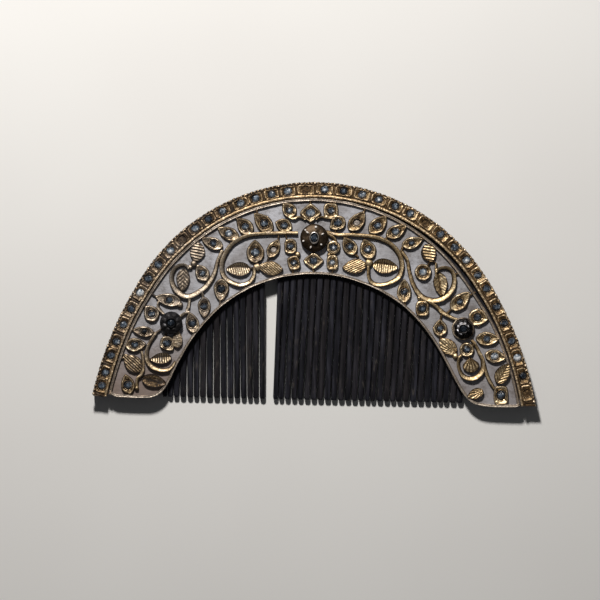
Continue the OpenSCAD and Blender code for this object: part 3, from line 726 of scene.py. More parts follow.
def setting(work, x, y, turn, stone_radius, outline, chance, empty, rise=1.0, collar=wide_collar, rub=1.0):
    """Rise scales the height of rim and floor, collar is the width round the stone, rub scales the wear."""
    shape = np.array(outline)
    reach = np.linalg.norm(shape, axis=1)
    outward = shape / reach[:, None]
    hole = stone_radius + collar
    in_by = wobble(chance, len(shape), 0.05)
    up_by = wobble(chance, len(shape), 0.05)
    ring_by = wobble(chance, len(shape), 0.35)
    worn = wobble(chance, len(shape), 0.16)
    rows, wear, bare = [], [], []
    for kind, amount, z, rubbed, silver in setting_profile + (empty_seat if empty else []):
        heights = np.full(len(shape), z * (rise if kind in (edge, slope) else 1.0))
        if kind == edge:
            far = np.maximum(reach - amount * (1 + 2 * in_by) - np.abs(in_by), hole + 0.01)
            heights += up_by * (z > waves_above)
        elif kind == slope:
            far = np.maximum(reach - slope_start, hole + 0.005) * (1 - amount) + hole * amount
        elif kind == bezel:
            far = stone_radius + amount * collar / wide_collar * (1 + ring_by * (amount > 0.05))
            far = np.minimum(far, hole)
            heights += up_by * (z > waves_above)
        else:
            far = np.full(len(shape), stone_radius * amount)
        row = [(px, py, pz) for (px, py), pz in zip(outward * far[:, None], heights)]
        rows.append(placed(row, x, y, turn))
        wear.append((rubbed + worn * (rubbed > 0.3)) * rub)
        bare.append(silver)
    loft(work, rows, wear, chance.random(), bare)


# %% [markdown]
# ## A rose-cut stone
# A rose cut is a flat-backed dome of triangles. It sits on foil, and the light that the foil returns on the
# side
# away from the window is painted: the facets on that side are coloured bright and the near ones dark, a few
# get a painted flash and the steep ones painted shade. Each facet stores its own glint number, worked out
# from which way it faces, and the stone's finish turns that into colour.

# %% Cutting stones
def new_stones():
    return {"points": [], "faces": [], "glint": []}


def facet_glint(points, face, glint, chance):
    """Painted light of one facet: a foil reflection on the lower right, a flash on a few, shade on steep
    ones.
    """
    p, q, r = (np.array(points[i]) for i in face[:3])
    normal = np.cross(q - p, r - p)
    normal /= np.linalg.norm(normal) + 1e-9
    # Painted light: a foil reflection that brightens the facets facing down and right, a bright flash on a
    # few random facets, and shade on the steep facets.
    painted_foil_light = -0.85 * normal[1] + 0.35 * normal[0]
    painted_flash = 0.45 if chance.random() < 0.03 + 0.12 * glint else 0.0
    painted_steep_shade = 0.16 * (normal[2] < 0.8) + 0.06
    return glint + 0.60 * painted_foil_light * glint ** 0.5 + chance.uniform(-0.2, 0.2) + painted_flash - painted_steep_shade


# columns: share of the radius, share of the height, turn as a share of one side
cut_levels = [(1.00, 0.0, 0.0), (1.05, 0.18, 0.0), (0.68, 0.74, 0.5), (0.30, 1.0, 0.0)]
sides = 8


def rose_cut(stones, x, y, z, radius, height, turn, glint, chance):
    first = len(stones["points"])
    lop = chance.uniform(0, 6)
    for share, up, shift in cut_levels:
        for k in range(sides):
            a = turn + 2 * math.pi * (k + shift) / sides
            r = radius * share * (1 + 0.05 * math.cos(2 * a + lop)) * chance.uniform(0.96, 1.03)
            stones["points"].append((x + r * math.cos(a), y + r * math.sin(a), z + height * up))
    faces = [tuple(first + k for k in reversed(range(sides)))]
    for k in range(sides):
        j = (k + 1) % sides
        a, b, c, d = (first + level * sides for level in range(4))
        faces += [(a + k, a + j, b + j, b + k), (b + k, b + j, c + k), (b + j, c + j, c + k),
                  (c + k, c + j, d + j), (c + k, d + j, d + k)]
    faces.append(tuple(first + 3 * sides + k for k in range(sides)))
    for face in faces:
        stones["glint"].append(facet_glint(stones["points"], face, glint, chance))
    stones["faces"].extend(faces)


def make_stones(name, stones, node):
    mesh = place_piece(name, stones["points"], stones["faces"], stone_finish, node)
    mesh.attributes.new("glint", "FLOAT", "FACE").data.foreach_set("value", stones["glint"])


# %% [markdown]
# ## The panel's settings
#
# The table is the chart of the panel, read from left to right. Glint says how bright the stone is painted,
# its
# painted highlights included: a few are clear and flash, some have lost their foil and look dark, and two
# settings are empty.

# %% Chart of the settings in the panel
# columns: x, y, stone radius, turn of the tip in degrees, length, width, shape, sway, glint
# shape 0 is a leaf, any other number is the power of a rounded outline; a glint of None is an empty seat
settings = [
    [-50.2, -24.4, 1.10, 103, 5.6, 3.9, 0, 0, 0.35], [-48.3, -13.6, 0.95, 5, 5.8, 4.0, 0, 0, 0.50],
    [-45.8, -10.0, 0.75, 172, 6.0, 3.1, 0, 0, 0.14], [-43.8, -5.2, 1.00, 125, 5.1, 4.4, 0, 0, 0.42],
    [-39.0, -1.5, 0.95, 170, 7.4, 3.7, 0, -0.3, 0.45], [-39.6, -13.2, 1.10, -50, 4.8, 4.1, 0, 0, 0.36],
    [-32.8, -7.8, 1.10, 105, 6.0, 3.8, 0, 0, 0.30], [-29.6, -3.2, 1.00, -90, 5.8, 3.6, 0, 0, 0.34],
    [-30.1, 5.7, 0.95, 120, 5.2, 4.0, 0, 0, 0.46], [-25.0, 1.5, 1.15, -95, 6.3, 4.3, 0, 0, 0.22],
    [-27.2, 13.8, 0.95, 160, 6.4, 3.5, 0, -0.2, 0.42], [-22.9, 16.4, 1.00, 157, 6.6, 3.7, 0, -0.3, 0.80],
    [-18.5, 18.3, 1.00, 132, 6.0, 4.2, 0, 0.2, 0.44], [-13.4, 19.2, 1.10, 127, 7.2, 4.4, 0, 0.5, 0.42],
    [-8.0, 18.6, 1.00, 158, 5.0, 4.1, 0, 0, 0.40], [-6.6, 22.7, 1.00, 135, 4.8, 4.0, 0, 0, 0.48],
    [-0.9, 22.0, 1.25, 0, 5.9, 5.4, 1.25, 0, 0.66], [4.6, 22.6, 1.00, 0, 4.1, 4.3, 3.5, 0, 0.42],
    [6.5, 19.3, 1.10, -145, 5.0, 4.2, 0, 0, 0.36], [11.6, 19.5, 1.00, 44, 6.8, 4.2, 0, 0.7, None],
    [17.2, 18.6, 1.00, 42, 6.6, 4.2, 0, 0.2, 0.50], [22.1, 16.9, 1.00, 26, 6.4, 3.8, 0, 0.3, 0.70],
    [26.4, 13.9, 0.85, 16, 6.2, 3.4, 0, 0.2, 0.40], [-15.8, 11.3, 1.15, 92, 6.6, 5.0, 0, 0, 0.56],
    [-10.9, 12.2, 0.90, 62, 5.8, 3.6, 0, 0, None], [-6.3, 13.0, 0.95, -90, 4.2, 3.5, 3, 0, 0.40],
    [-5.4, 8.5, 0.85, -75, 4.1, 3.5, 3, 0, 0.44], [-0.1, 9.1, 1.10, 0, 5.7, 4.7, 1.25, 0, 0.40],
    [5.0, 8.6, 0.80, 90, 4.3, 3.3, 3, 0, 0.82], [5.3, 12.7, 1.05, 0, 3.9, 3.9, 2, 0, 0.44],
    [9.7, 12.9, 1.10, 122, 5.7, 4.0, 0, 0, 0.32], [14.6, 12.1, 1.10, 112, 5.9, 4.5, 0, 0, 0.36],
    [24.4, 0.7, 1.00, 90, 6.6, 4.0, 0, 0, 0.40], [29.5, 6.0, 1.05, 45, 4.7, 4.7, 2, 0, 0.86],
    [29.3, -3.8, 1.10, -90, 4.4, 3.8, 3, 0, 0.30], [39.4, -2.0, 0.90, 38, 7.0, 4.3, 0, 0.5, 0.48],
    [34.1, -9.2, 0.95, 90, 4.8, 4.1, 0, 0, 0.40], [44.2, -6.2, 1.10, -16, 5.6, 5.0, 0, 0.3, 0.36],
    [46.7, -12.0, 0.95, -2, 6.6, 4.0, 0, 0.2, 0.56], [41.3, -14.9, 1.00, 0, 4.1, 4.1, 2, 0, 0.36],
    [48.8, -16.7, 1.05, -12, 6.0, 3.9, 0, 0.2, 0.84], [50.5, -27.2, 1.25, 90, 5.2, 4.0, 4, 0, 0.36]]

# %% Build the settings and cut their stones
panel_work = new_work()
panel_stones = new_stones()
stone_seat = 0.50
chance = random.Random(11)
for x, y, radius, degrees, length, width, shape, sway, glint in settings:
    turn = math.radians(degrees)
    outline = (leaf_outline(length, width, sway, 24) if shape == 0
               else rounded_outline(length, width, shape, 48))
    setting(panel_work, x, y, turn, radius, outline, chance, glint is None)
    if glint is not None:
        rose_cut(panel_stones, x, y, metal_z + stone_seat, radius, 1.05, turn, glint, chance)
print(len(settings), "settings,", sum(row[-1] is not None for row in settings), "with a stone")

# %% [markdown]
# ## Engraved leaves
#
# Between the settings lie seventeen plain leaves of chased sheet. Most are folded along a line, so one
# part turns to the light and the other away; on a deep valley fold the lower half, which faces the lamp, is
# given a painted highlight as well, and valley-folded leaves are made darker along the fold. The graver has
# cut ribs across them, some straight, some as a feather or a fan, and two are only stippled. A grid of
# points over the leaf, its height worked out from fold and ribs, gives real grooves that catch the light
# from any side.

# %% One engraved leaf
def rib(cut, x, y, length, angle, pitch):
    """How high on a rib the place x, y of a leaf lies: 0 in a groove, 1 on the crest between two."""
    c, s = math.cos(math.radians(angle)), math.sin(math.radians(angle))
    if cut == "ribbed":
        phase = (x * c + y * s) / pitch
    elif cut == "feather":
        phase = (x * c - abs(y) * s) / pitch
    elif cut == "fan":
        phase = math.atan2(y, x + length * 0.58) / math.radians(pitch)
    else:
        return 0.5 + 0.5 * noise.noise(Vector((x * 2.6, y * 2.6, length + angle)))
    return abs(math.sin(math.pi * (phase + 0.5))) ** 0.75


leaf_height = 0.96
rim_drop = 0.07


def engraved_leaf(work, chart_row, chance):
    x, y, length, width, degrees, lean, cut, angle, pitch, fold_at, fold, relief = chart_row
    lengthwise = cut == "ribbed" and abs(math.sin(math.radians(angle))) > 0.6
    along, across = (50, 36) if lengthwise or cut in ("fan", "feather") else (84, 20)
    turn = math.radians(degrees)
    top, wear = [], []
    for i in range(along + 1):
        u = 0.5 - 0.5 * math.cos(math.pi * (0.02 + 0.96 * i / along))
        half = leaf_half(u, width, lean)
        row, rubbed = [], []
        for k in range(across + 1):
            v = -1 + 2 * k / across
            px, py = (u - 0.5) * length, v * half
            crest = rib(cut, px, py, length, angle, pitch)
            away = (v - fold_at) / (1 - fold_at) if v > fold_at else (fold_at - v) / (1 + fold_at)
            # bright marks the lower half of a leaf, the half that faces the lamp when the fold is a valley.
            bright = (v > fold_at) == (math.cos(math.radians(degrees - 195)) > 0)
            rim_in = min(1.0, 5 * (1 - abs(v)), 14 * u, 14 * (1 - u))
            cover = rim_in * (1.0 if fold < 0.2 or away > 0.15 else 0.4)
            z = leaf_height - abs(fold) * ((1 - away) if fold > 0 else away)
            z -= relief * (1 - crest) * cover + rim_drop * (1 - rim_in)
            row.append((px, py * (1 - 0.04 * (1 - crest) * (abs(v) > 0.97)), z))
            worn = 0.16 * noise.noise(Vector((px * 0.9, py * 0.9, x + y)))
            # On a deep valley fold the lower half gets a painted highlight in its wear; every valley-folded
            # leaf is also made darker along its fold line.
            worn += (fold - 0.12) * bright * (fold > 0.3) - 0.25 * (1 - away) * (fold > 0.2)
            shown = 1 - (1 - crest) * min(1, relief / 0.15)
            rubbed.append((0.16 + 0.72 * shown * cover + worn) * rim_in)
        top.append(placed(row, x, y, turn))
        wear.append(rubbed)
    add_slab(work, top, wear, chance.random())


def add_slab(work, top, wear, tone):
    """A closed slab under a grid of points: its walls drop to the level of the silver sheet."""
    first = len(work["points"])
    rows, columns = len(top), len(top[0])
    loop = ([k for k in range(columns)] + [i * columns + columns - 1 for i in range(1, rows)]
            + [(rows - 1) * columns + k for k in range(columns - 2, -1, -1)]
            + [i * columns for i in range(rows - 2, 0, -1)])
    flat = [q for row in top for q in row]
    under = [(flat[k][0], flat[k][1], metal_z) for k in loop]
    work["points"].extend(flat + under)
    work["wear"].extend([w for row in wear for w in row] + [0.0] * len(under))
    for name, value in (("tone", tone), ("bare", 0.0)):
        work[name].extend([value] * (len(flat) + len(under)))
    for i in range(rows - 1):
        for k in range(columns - 1):
            a = first + i * columns + k
            work["faces"].append((a, a + 1, a + 1 + columns, a + columns))
    below = first + len(flat)
    for n, k in enumerate(loop):
        m = (n + 1) % len(loop)
        work["faces"].append((first + k, first + loop[m], below + m, below + n))
    work["faces"].append(tuple(below + n for n in reversed(range(len(loop)))))


# %% Chart of the leaves
# columns: x, y, length, width, turn in degrees, lean, cut, angle of the ribs' normal, their pitch (mm, or
# degrees in a fan), where the fold lies from -1 to 1, its depth (ridge if negative), relief of the ribs
leaves = [
    [-49.0, -18.4, 7.0, 4.6, -42, 1.3, "ribbed", 90, 0.62, 0.55, -0.25, 0.17],
    [-43.1, -23.3, 6.8, 3.6, -12, 0.82, "stippled", 0, 1, 0.0, 0.25, 0.14],
    [-41.3, -17.2, 5.8, 3.1, 186, 0.82, "ribbed", 0, 0.62, -0.2, 0.34, 0.16],
    [-36.8, -12.1, 4.8, 2.9, 88, 0.82, "stippled", 3, 1, 0.0, -0.2, 0.08],
    [-35.3, 3.9, 6.2, 3.8, -93, 0.82, "feather", 45, 0.78, -0.1, -0.25, 0.16],
    [-31.4, 11.5, 5.4, 4.2, 78, 1.0, "ribbed", 0, 0.78, 0.0, -0.2, 0.18],
    [-20.4, 6.9, 6.6, 3.9, 180, 0.82, "ribbed", 15, 0.56, -0.3, 0.40, 0.17],
    [-11.6, 7.1, 6.8, 4.0, -8, 1.0, "ribbed", 58, 0.52, 0.2, -0.18, 0.16],
    [10.9, 7.6, 6.6, 4.1, 188, 0.82, "ribbed", -73, 0.52, -0.2, -0.18, 0.16],
    [19.3, 7.7, 6.9, 4.1, -6, 0.82, "ribbed", 0, 0.60, 0.3, 0.40, 0.17],
    [31.0, 11.2, 5.2, 4.2, 110, 1.1, "ribbed", -30, 0.76, 0.95, 0.22, 0.18],
    [34.2, 2.8, 6.4, 3.9, -82, 0.82, "feather", 40, 0.66, -0.1, 0.45, 0.05],
    [36.1, -13.9, 6.0, 4.1, 140, 0.82, "fan", 0, 9, -0.3, -0.22, 0.15],
    [42.4, -19.1, 4.2, 4.6, -85, 1.2, "fan", 0, 15, 0.0, -0.2, 0.18],
    [51.0, -21.3, 6.2, 4.0, 60, 0.82, "feather", 50, 0.62, 0.0, 0.20, 0.16],
    [43.6, -26.8, 4.6, 3.0, 200, 0.82, "fan", 0, 13, 0.0, 0.15, 0.16],
    [29.2, -1.2, 3.0, 1.7, -25, 0.82, "ribbed", 0, 0.80, 0.0, -0.2, 0.14]]
for row in leaves:
    engraved_leaf(panel_work, row, chance)
print(len(leaves), "engraved leaves")

# %% [markdown]
# ## Vines and wires
#
# The scrolls are thick wire hammered so that the outside of each bend stands higher than the inside. That
# is why the top of a scroll looks brown and its bottom bright under one light. A sweep lifts the side
# away from the bend by an amount that grows with the bend, and a straight stretch stays evenly rounded.
# The vines of the left half are made paler and those of the right darker, as painted light and shade.

# %% Sweeping a wire along a line
# columns: sideways share of the half width, height share, wear
wire_section = [(-1, 0, 0.0), (-1, 0.42, 0.0), (-0.95, 0.72, 0.0), (-0.82, 0.90, 0.26), (-0.52, 0.98, 0.66),
                (-0.18, 1.0, 0.80), (0.18, 1.0, 0.80), (0.52, 0.98, 0.66), (0.82, 0.90, 0.26),
                (0.95, 0.72, 0.0), (1, 0.42, 0.0), (1, 0, 0.0)]
# for stems and bars: a plain round back, duller than a vine's
bar_section = [(-1, 0, 0.1), (-0.95, 0.75, 0.1), (-0.6, 0.96, 0.26), (0, 1, 0.34), (0.6, 0.96, 0.26),
               (0.95, 0.75, 0.1), (1, 0, 0.1)]
# for the frame wire: a ridge on each side of a shallow groove
double_section = [(-1, 0, 0.0), (-1, 0.50, 0.0), (-0.86, 0.84, 0.5), (-0.52, 1.0, 0.95), (-0.20, 0.86, 0.45),
                  (0.10, 0.86, 0.40), (0.44, 1.0, 0.95), (0.82, 0.84, 0.5), (1, 0.50, 0.0), (1, 0, 0.0)]


def halves_along(widths, count):
    """Half the width of a wire at each of its points, from its width at the start, middle and end."""
    out = []
    for t in np.linspace(0, 2, count):
        a, b = (widths[0], widths[1]) if t < 1 else (widths[1], widths[2])
        out.append(smooth_blend(a, b, t if t < 1 else t - 1) / 2)
    return out


bend_gain = 6
smoothing_rounds = 6
lean_wear = 0.9


def sweep(work, line, halves, height, slant, tone, bare=0.0, closed=False, section=wire_section):
    side = left_of(line, closed)
    bends = np.zeros(len(line))
    if slant:
        bends = np.clip(bend_of(line) * bend_gain, -1, 1)
        for _ in range(smoothing_rounds):
            bends[1:-1] = (bends[:-2] + bends[1:-1] * 2 + bends[2:]) / 4
    rows, wear = [], []
    for p, across, half, bend in zip(line, side, halves, bends):
        row, rubbed = [], []
        for a, share, w in section:
            lean = slant * bend * a * (share > 0.5)
            row.append((*(p + across * half * a), metal_z + height * (share - lean)))
            rubbed.append(w if share == 0 else w - lean_wear * lean)
        rows.append(row)
        wear.append(rubbed)
    loft(work, rows, wear, tone, bare, closed)


# %% Chart of the vines
# columns: widths at the start, middle and end, then the points of the middle line
vines = [
    [[1.0, 1.4, 1.0], [[-4.3, 16.6], [-8, 16.6], [-13, 16.5], [-17, 16.1], [-20, 15], [-22.3, 13.3],
        [-24, 10.8], [-24.8, 8.2], [-24.5, 5.6], [-23, 3.8], [-20.3, 2.7], [-17.8, 3.2], [-16.4, 4.8],
        [-16, 7.2]]],
    [[1.0, 1.5, 0.9], [[-24.6, 12], [-25.9, 9.2], [-26.8, 6], [-28.2, 3.4], [-30.3, 1.2], [-33.8, -0.5],
        [-36.6, 0.7], [-38.2, 3.2], [-38.2, 5.8], [-37, 7.5], [-35.2, 8], [-33.7, 7.2]]],
    [[0.8, 0.9, 0.8], [[-33.5, -0.8], [-33.8, -3], [-34.3, -4.5]]],
    [[0.8, 0.9, 0.8], [[-30.9, 1.2], [-30.2, 0.2], [-29.8, -1]]],
    [[0.9, 1.4, 0.8], [[-42.5, -10.3], [-44, -12.5], [-45, -15], [-45, -17.3], [-43.8, -19.3],
        [-41.2, -20.4], [-38.8, -19.9], [-37.3, -18]]],
    [[0.8, 1.1, 0.9], [[-46.5, -15.4], [-46.2, -17], [-46.1, -19.5], [-46.7, -21.5], [-47.6, -22.9],
        [-47.8, -25]]],
    [[1.0, 1.4, 1.0], [[3.3, 17], [6.5, 16.2], [10.5, 16.1], [14.5, 15.8], [17.5, 15.2], [20.3, 13.9],
        [22.3, 12], [23.5, 9.6], [23.7, 7.2], [23, 5], [21.2, 3.5], [18.5, 2.7], [16.2, 3], [14.9, 4.6],
        [14.7, 7.8]]],
    [[1.0, 1.5, 0.9], [[23.8, 11.6], [25.2, 9.2], [25.8, 6.2], [26.6, 3.4], [27.9, 0.9], [29.8, -0.9],
        [32.5, -1.6], [35.2, -0.8], [37.2, 1.2], [37.9, 3.8], [37.4, 6.1], [35.9, 7.2], [34, 7],
        [33, 6.2]]],
    [[0.9, 1.2, 0.9], [[31, -1.9], [33, -3.2], [34.8, -4.8], [36.6, -5.9], [38.6, -6.8]]],
    [[0.9, 1.4, 0.8], [[42.6, -12.3], [43.6, -13.6], [44.6, -15.6], [45.6, -18], [45.4, -20.6],
        [44, -22.2], [42.2, -22.7], [40.4, -22], [39.3, -20.2], [39, -18], [39.7, -16.4]]],
    [[0.9, 1.1, 0.9], [[45.9, -18.3], [46.4, -20.6], [47.3, -23], [48.7, -25.3]]],
    [[0.6, 0.7, 0.6], [[33, 8.6], [32.9, 6.8], [33, 4.6]]],
    [[0.8, 0.9, 0.8], [[3.1, 16.9], [5.4, 15.2], [6.3, 13.6]]],
    [[0.8, 0.9, 0.8], [[-36.4, -6.2], [-35, -5.2], [-33.6, -4.6]]],
    [[0.7, 0.9, 0.7], [[-40.2, -5.5], [-41.4, -4.3], [-42.1, -3], [-41.6, -1.5]]],
    [[0.5, 0.7, 0.5], [[-7.4, 21.3], [-5.6, 20.6], [-3.8, 20.9], [-2.3, 20.3]]],
    [[0.5, 0.7, 0.5], [[0.6, 20.3], [2, 20.9], [3.5, 20.7], [5.6, 20.4]]]]
vine_height, vine_slant = 0.92, 0.30
paler_at_left = 0.35
for widths, points in vines:
    line = curve(points, 6)
    # paler_at_left paints light and shade: the left-hand vines are made paler and the right-hand ones
    # darker.
    tone = chance.uniform(0.35, 0.75) + (paler_at_left if points[0][0] < 0 else -paler_at_left)
    sweep(panel_work, line, halves_along(widths, len(line)), vine_height, vine_slant, tone)
print(len(vines), "vines swept")

# %% [markdown]
# ## Frame wires, stems and beads
#
# One wire runs round the whole crescent and closes the panel. It is drawn once, as a closed line: along
# the rim, round the right foot, back under the arch and round the left foot. It has two ridges, as if two
# thin wires lay side by side, and its gilding is worn down to the silver. Short stems solder what would
# float, and small beads hide the joints.

# %% The wire round the panel
# columns: length along the rim, inset of the panel's outer wire
frame_inset = [[22, 4.8], [35, 4.75], [44, 4.5], [57, 4.75], [85, 4.9], [112, 5.0], [125, 5.15],
               [143, 5.3], [151, 5.4], [164, 5.65], [172, 5.5], [178, 5.05], [186, 4.75], [206, 4.75]]
frame_half, arch_half = 0.39, 0.38
frame_height, frame_bare = 0.74, 0.75
wire_s = np.linspace(start_s + 1.6, end_s - 1.2, 150)
outer_wire = np.array([rim(s, along_rim(s, frame_inset)) for s in wire_s])
right_corner = [[55.1, -29.6], [54.95, -29.98], [54.5, -30.1], [52, -30.1], [50, -30.08]]
left_corner = [[-50.4, -27.45], [-53.3, -27.3], [-54.4, -26.75], [-54.95, -26.2]]
frame_line = np.vstack([outer_wire, right_corner, arch[::-1], left_corner])
frame_halves = ([frame_half] * (len(outer_wire) + len(right_corner)) + [arch_half] * len(arch)
                + [frame_half] * len(left_corner))
sweep(panel_work, frame_line, frame_halves, frame_height, 0, 1.0, frame_bare, closed=True,
      section=double_section)
print("frame wire:", len(frame_line), "points in one closed line")

# %% Stems: both ends of each, x y x y
stems = [
    [-8.1, 24.1, -8.4, 24.8], [-0.9, 24.4, -0.9, 25.4], [4.6, 24.5, 4.7, 25.2], [6.0, 17.8, 5.6, 16.4],
    [13.2, 21.7, 14.0, 23.6], [10.7, 17.7, 10.4, 16.3], [-19.0, 2.8, -18.2, 1.3],
    [-20.7, 20.3, -21.0, 20.7], [-15.1, 21.7, -15.5, 22.9], [17.6, 2.8, 16.9, 1.5],
    [15.4, 17.1, 15.0, 15.9], [19.9, 15.8, 19.1, 14.5], [24.1, 13.3, 23.5, 11.6],
    [29.0, 14.5, 29.8, 15.2], [-7.2, 14.6, -7.7, 16.4], [-5.5, 11.6, -4.6, 11.0],
    [-5.6, 6.7, -5.7, 5.5], [-9.7, 14.5, -9.4, 16.3], [-12.1, 10.3, -12.7, 8.4],
    [-31.0, 13.8, -31.3, 14.5], [-0.1, 7.1, -0.1, 5.9], [-0.1, 11.1, -0.1, 12.1], [37.5, 5.2, 39.5, 6.0],
    [30.7, 7.8, 31.8, 9.4], [33.0, 8.3, 32.0, 9.4], [-28.6, 4.6, -27.4, 4.9], [-35.4, 1.3, -35.5, -0.1],
    [24.4, -1.7, 24.7, -3.2], [-25.2, -1.4, -25.4, -3.2], [-42.3, -0.7, -44.0, 0.35],
    [-45.0, -3.6, -45.9, -3.0], [42.1, -0.2, 43.6, 0.7], [37.5, -3.6, 35.6, -5.3],
    [34.1, -7.1, 34.6, -4.7], [34.1, -11.1, 34.5, -12.4], [-48.5, -9.6, -49.4, -9.5],
    [-43.5, -10.2, -42.3, -10.4], [-42.6, -10.3, -40.5, -8.9], [42.6, -14.0, 43.5, -13.4],
    [39.9, -15.9, 39.5, -16.7], [-43.8, -17.4, -45.0, -17.5], [42.1, -17.4, 41.6, -16.4],
    [-17.5, 7.0, -16.0, 7.3], [5.0, 6.8, 5.0, 5.5], [-42.6, -4.2, -41.4, -4.4],
    [-40.2, -11.4, -39.6, -9.8], [-50.8, -16.9, -52.2, -17.3], [8.2, 14.6, 8.2, 16.4],
    [8.8, 15.0, 8.8, 16.4], [11.0, 10.9, 12.0, 10.2]]
stem_half, stem_height = 0.28, 0.66
for x0, y0, x1, y1 in stems:
    bar = np.linspace([x0, y0], [x1, y1], 4)
    sweep(panel_work, bar, [stem_half] * 4, stem_height, 0, chance.random(), section=bar_section)
print(len(stems), "stems")

# %% Beads and rosette seats
# columns: x, y, radius, height
beads = [[-4.3, 10.8, 0.75, 1.0], [-32.4, 8.4, 0.85, 1.1], [-15.3, 7.4, 1.1, 1.0], [14.9, 8.5, 1.1, 1.0],
         [-47.8, -25.2, 0.62, 1.0], [-36.2, -2.7, 0.9, 0.95], [38.2, -16.6, 0.8, 0.95],
         [4.1, 10.7, 0.6, 0.95], [-33.4, 7.4, 0.7, 0.95], [33.1, 6.6, 0.6, 0.95]]
# columns: x, y, radius of the seat, height of its rim
rosettes = [[0.1, 15.3, 3.55, 0.74], [-38.5, -7.6, 2.9, 0.74], [40.3, -9.2, 3.1, 0.95]]


def turned(work, x, y, profile, n=32, lift=0.0, tone=0.5, bare=0.0):
    """A shape turned on a lathe. Rows of the profile are radius, z and wear."""
    rows = [placed(ring(radius, z, n), x, y, 0, lift) for radius, z, _ in profile]
    loft(work, rows, [w for _, _, w in profile], tone, bare)


def toward(degrees, n):
    """Numbers round a loop of n points: 1 towards the angle, 0 on the side away from it."""
    turns = np.linspace(0, 2 * math.pi, n, endpoint=False)
    return np.clip(np.cos(turns - math.radians(degrees)), 0, 1)


for x, y, radius, height in beads:
    dome = [(radius, 0, 0.0), (radius, height * 0.40, 0.10), (radius * 0.88, height * 0.75, 0.45),
            (radius * 0.55, height * 0.94, 0.75), (radius * 0.2, height, 0.85)]
    turned(panel_work, x, y, dome, 20, 0.0, chance.random())
seat_sides = 48
# rub is a painted highlight: each seat's rim is made brighter on its lower left, towards 205 degrees.
rub = 0.15 + 0.95 * toward(205, seat_sides) ** 0.6
for x, y, radius, rim_z in rosettes:
    seat_rows = [(radius, 0, 0.0), (radius, 0.5, 0.1), (radius - 0.08, rim_z - 0.08, 0.6 * rub),
                 (radius - 0.18, rim_z, rub), (radius - 0.32, rim_z, 0.8 * rub),
                 (radius - 0.46, seat_z - 0.08, 0.3 * rub), (radius - 0.9, seat_z - 0.1, 0.0)]
    turned(panel_work, x, y, seat_rows, seat_sides, 0.0, 0.8, 0.45)
# The brighter lower left of the seats, reported below, is the painted highlight of rub.
print(len(beads), "beads and", len(rosettes), "rosette seats, rubbed bright on their lower left")
make_piece("gilt_openwork", panel_work, panel_gilt, "panel", hand=0.06)
make_stones("panel_rose_cuts", panel_stones, "panel_stones")

# %% [markdown]
# ## The border band
#
# The border is a strip with a grained edge outside and a smooth flange inside. Between them stand square
# settings, kept apart by raised bars. The strip is one loft across, whose rows run from the grained edge to
# the inner edge; only the outermost points move in and out, and that makes the grain. A goldsmith rolls
# such an edge with a small toothed wheel, and wear has rubbed it uneven. At the crown the band kept more
# of its grime than on the flanks.

# %% The strip of the border
# columns: length along the rim, inset of the band's inner edge
band_inset = [[22, 4.2], [35, 4.15], [44, 3.95], [57, 4.2], [85, 4.35], [112, 4.45], [125, 4.5],
              [143, 4.45], [151, 4.35], [164, 4.3], [172, 4.25], [178, 4.15], [186, 4.1], [206, 4.2]]
mill_pitch = 1.32
mill_depth = 0.26
strip_steps = 1600
grimy_at, grimy_over, grime = 0.46, 0.14, 0.16
# columns: inset from the rim (from the inner edge if negative), z, wear, share of the milling, bare
strip_section = [
    (0.16, 0.00, 0.0, 1.0, 0), (0.15, 0.40, 0.15, 1.0, 0), (0.19, 0.62, 0.45, 0.9, 0.2),
    (0.28, 0.74, 0.75, 0.6, 0.3), (0.40, 0.70, 0.40, 0.3, 0), (0.54, 0.60, 0.05, 0.0, 0),
    (1.60, 0.62, 0.30, 0.0, 0), (-1.00, 0.60, 0.15, 0.0, 0), (-0.86, 0.60, 0.25, 0.0, 0),
    (-0.74, 0.74, 0.58, 0.0, 0), (-0.54, 0.84, 0.80, 0.0, 0.1), (-0.34, 0.87, 0.92, 0.0, 0.2),
    (-0.16, 0.83, 0.80, 0.0, 0.2), (-0.04, 0.68, 0.4, 0.0, 0), (0.0, 0.45, 0.0, -1.0, 0),
    (0.0, 0.00, 0.0, -1.0, 0)]


def foot_cut(inset, left):
    """Height of the band's cut end: level, with the left outer corner rounded off."""
    if left:
        return left_foot_y + 0.95 * max(0, 1 - inset / 0.9) ** 2
    return right_foot_y + 0.15


def grain(s):
    """Depth of the grained edge at a length along the rim, from 0 to 1."""
    turn = 2 * math.pi * s / mill_pitch
    wheel = 0.30 * math.cos(turn) + 0.22 * math.cos(2 * turn + 0.8)
    return min(max(0.5 + wheel + 0.55 * noise.noise(Vector((s * 1.3, 4.2, 0))), 0), 1)


def strip_rows(count):
    """Rows of points across the strip, from the left foot to the right, and their wear."""
    rows, wear = [], []
    for k in range(count + 1):
        t = k / count
        rub = 1 - grime * math.exp(-((t - grimy_at) / grimy_over) ** 2)
        deep = grain(t * (end_s - start_s))
        inner_edge = along_rim(start_s + t * (end_s - start_s), band_inset)
        row, rubbed = [], []
        for inset, z, w, milling, _ in strip_section:
            d = inner_edge + inset if inset < 0 or milling < 0 else inset
            first, last = left_s(foot_cut(d, True), d), right_s_at(foot_cut(d, False), d)
            s = first + (last - first) * t
            cut = deep * max(milling, 0)
            row.append((*rim(s, d + mill_depth * cut), metal_z + z * (1 - 0.15 * cut)))
            rubbed.append(w * rub * (1 - 0.7 * cut))
        rows.append(row)
        wear.append(rubbed)
    return rows, wear


border_work = new_work()
rows, wear = strip_rows(strip_steps)
loft(border_work, rows, wear, 0.5, [[silver for *_, silver in strip_section]] * len(rows))
print("grained edge:", round((end_s - start_s) / mill_pitch), "turns of the wheel's tooth")

# %% [markdown]
# ## Cells of the border
#
# Thirty-seven settings follow the rim at a pitch that grows slightly from left to right. Each was made by
# hand, so each has its own small shift. The same setting function dishes them, with a square outline. The
# bars between them are a little lower than their rims, and granules fill the groove outside them.

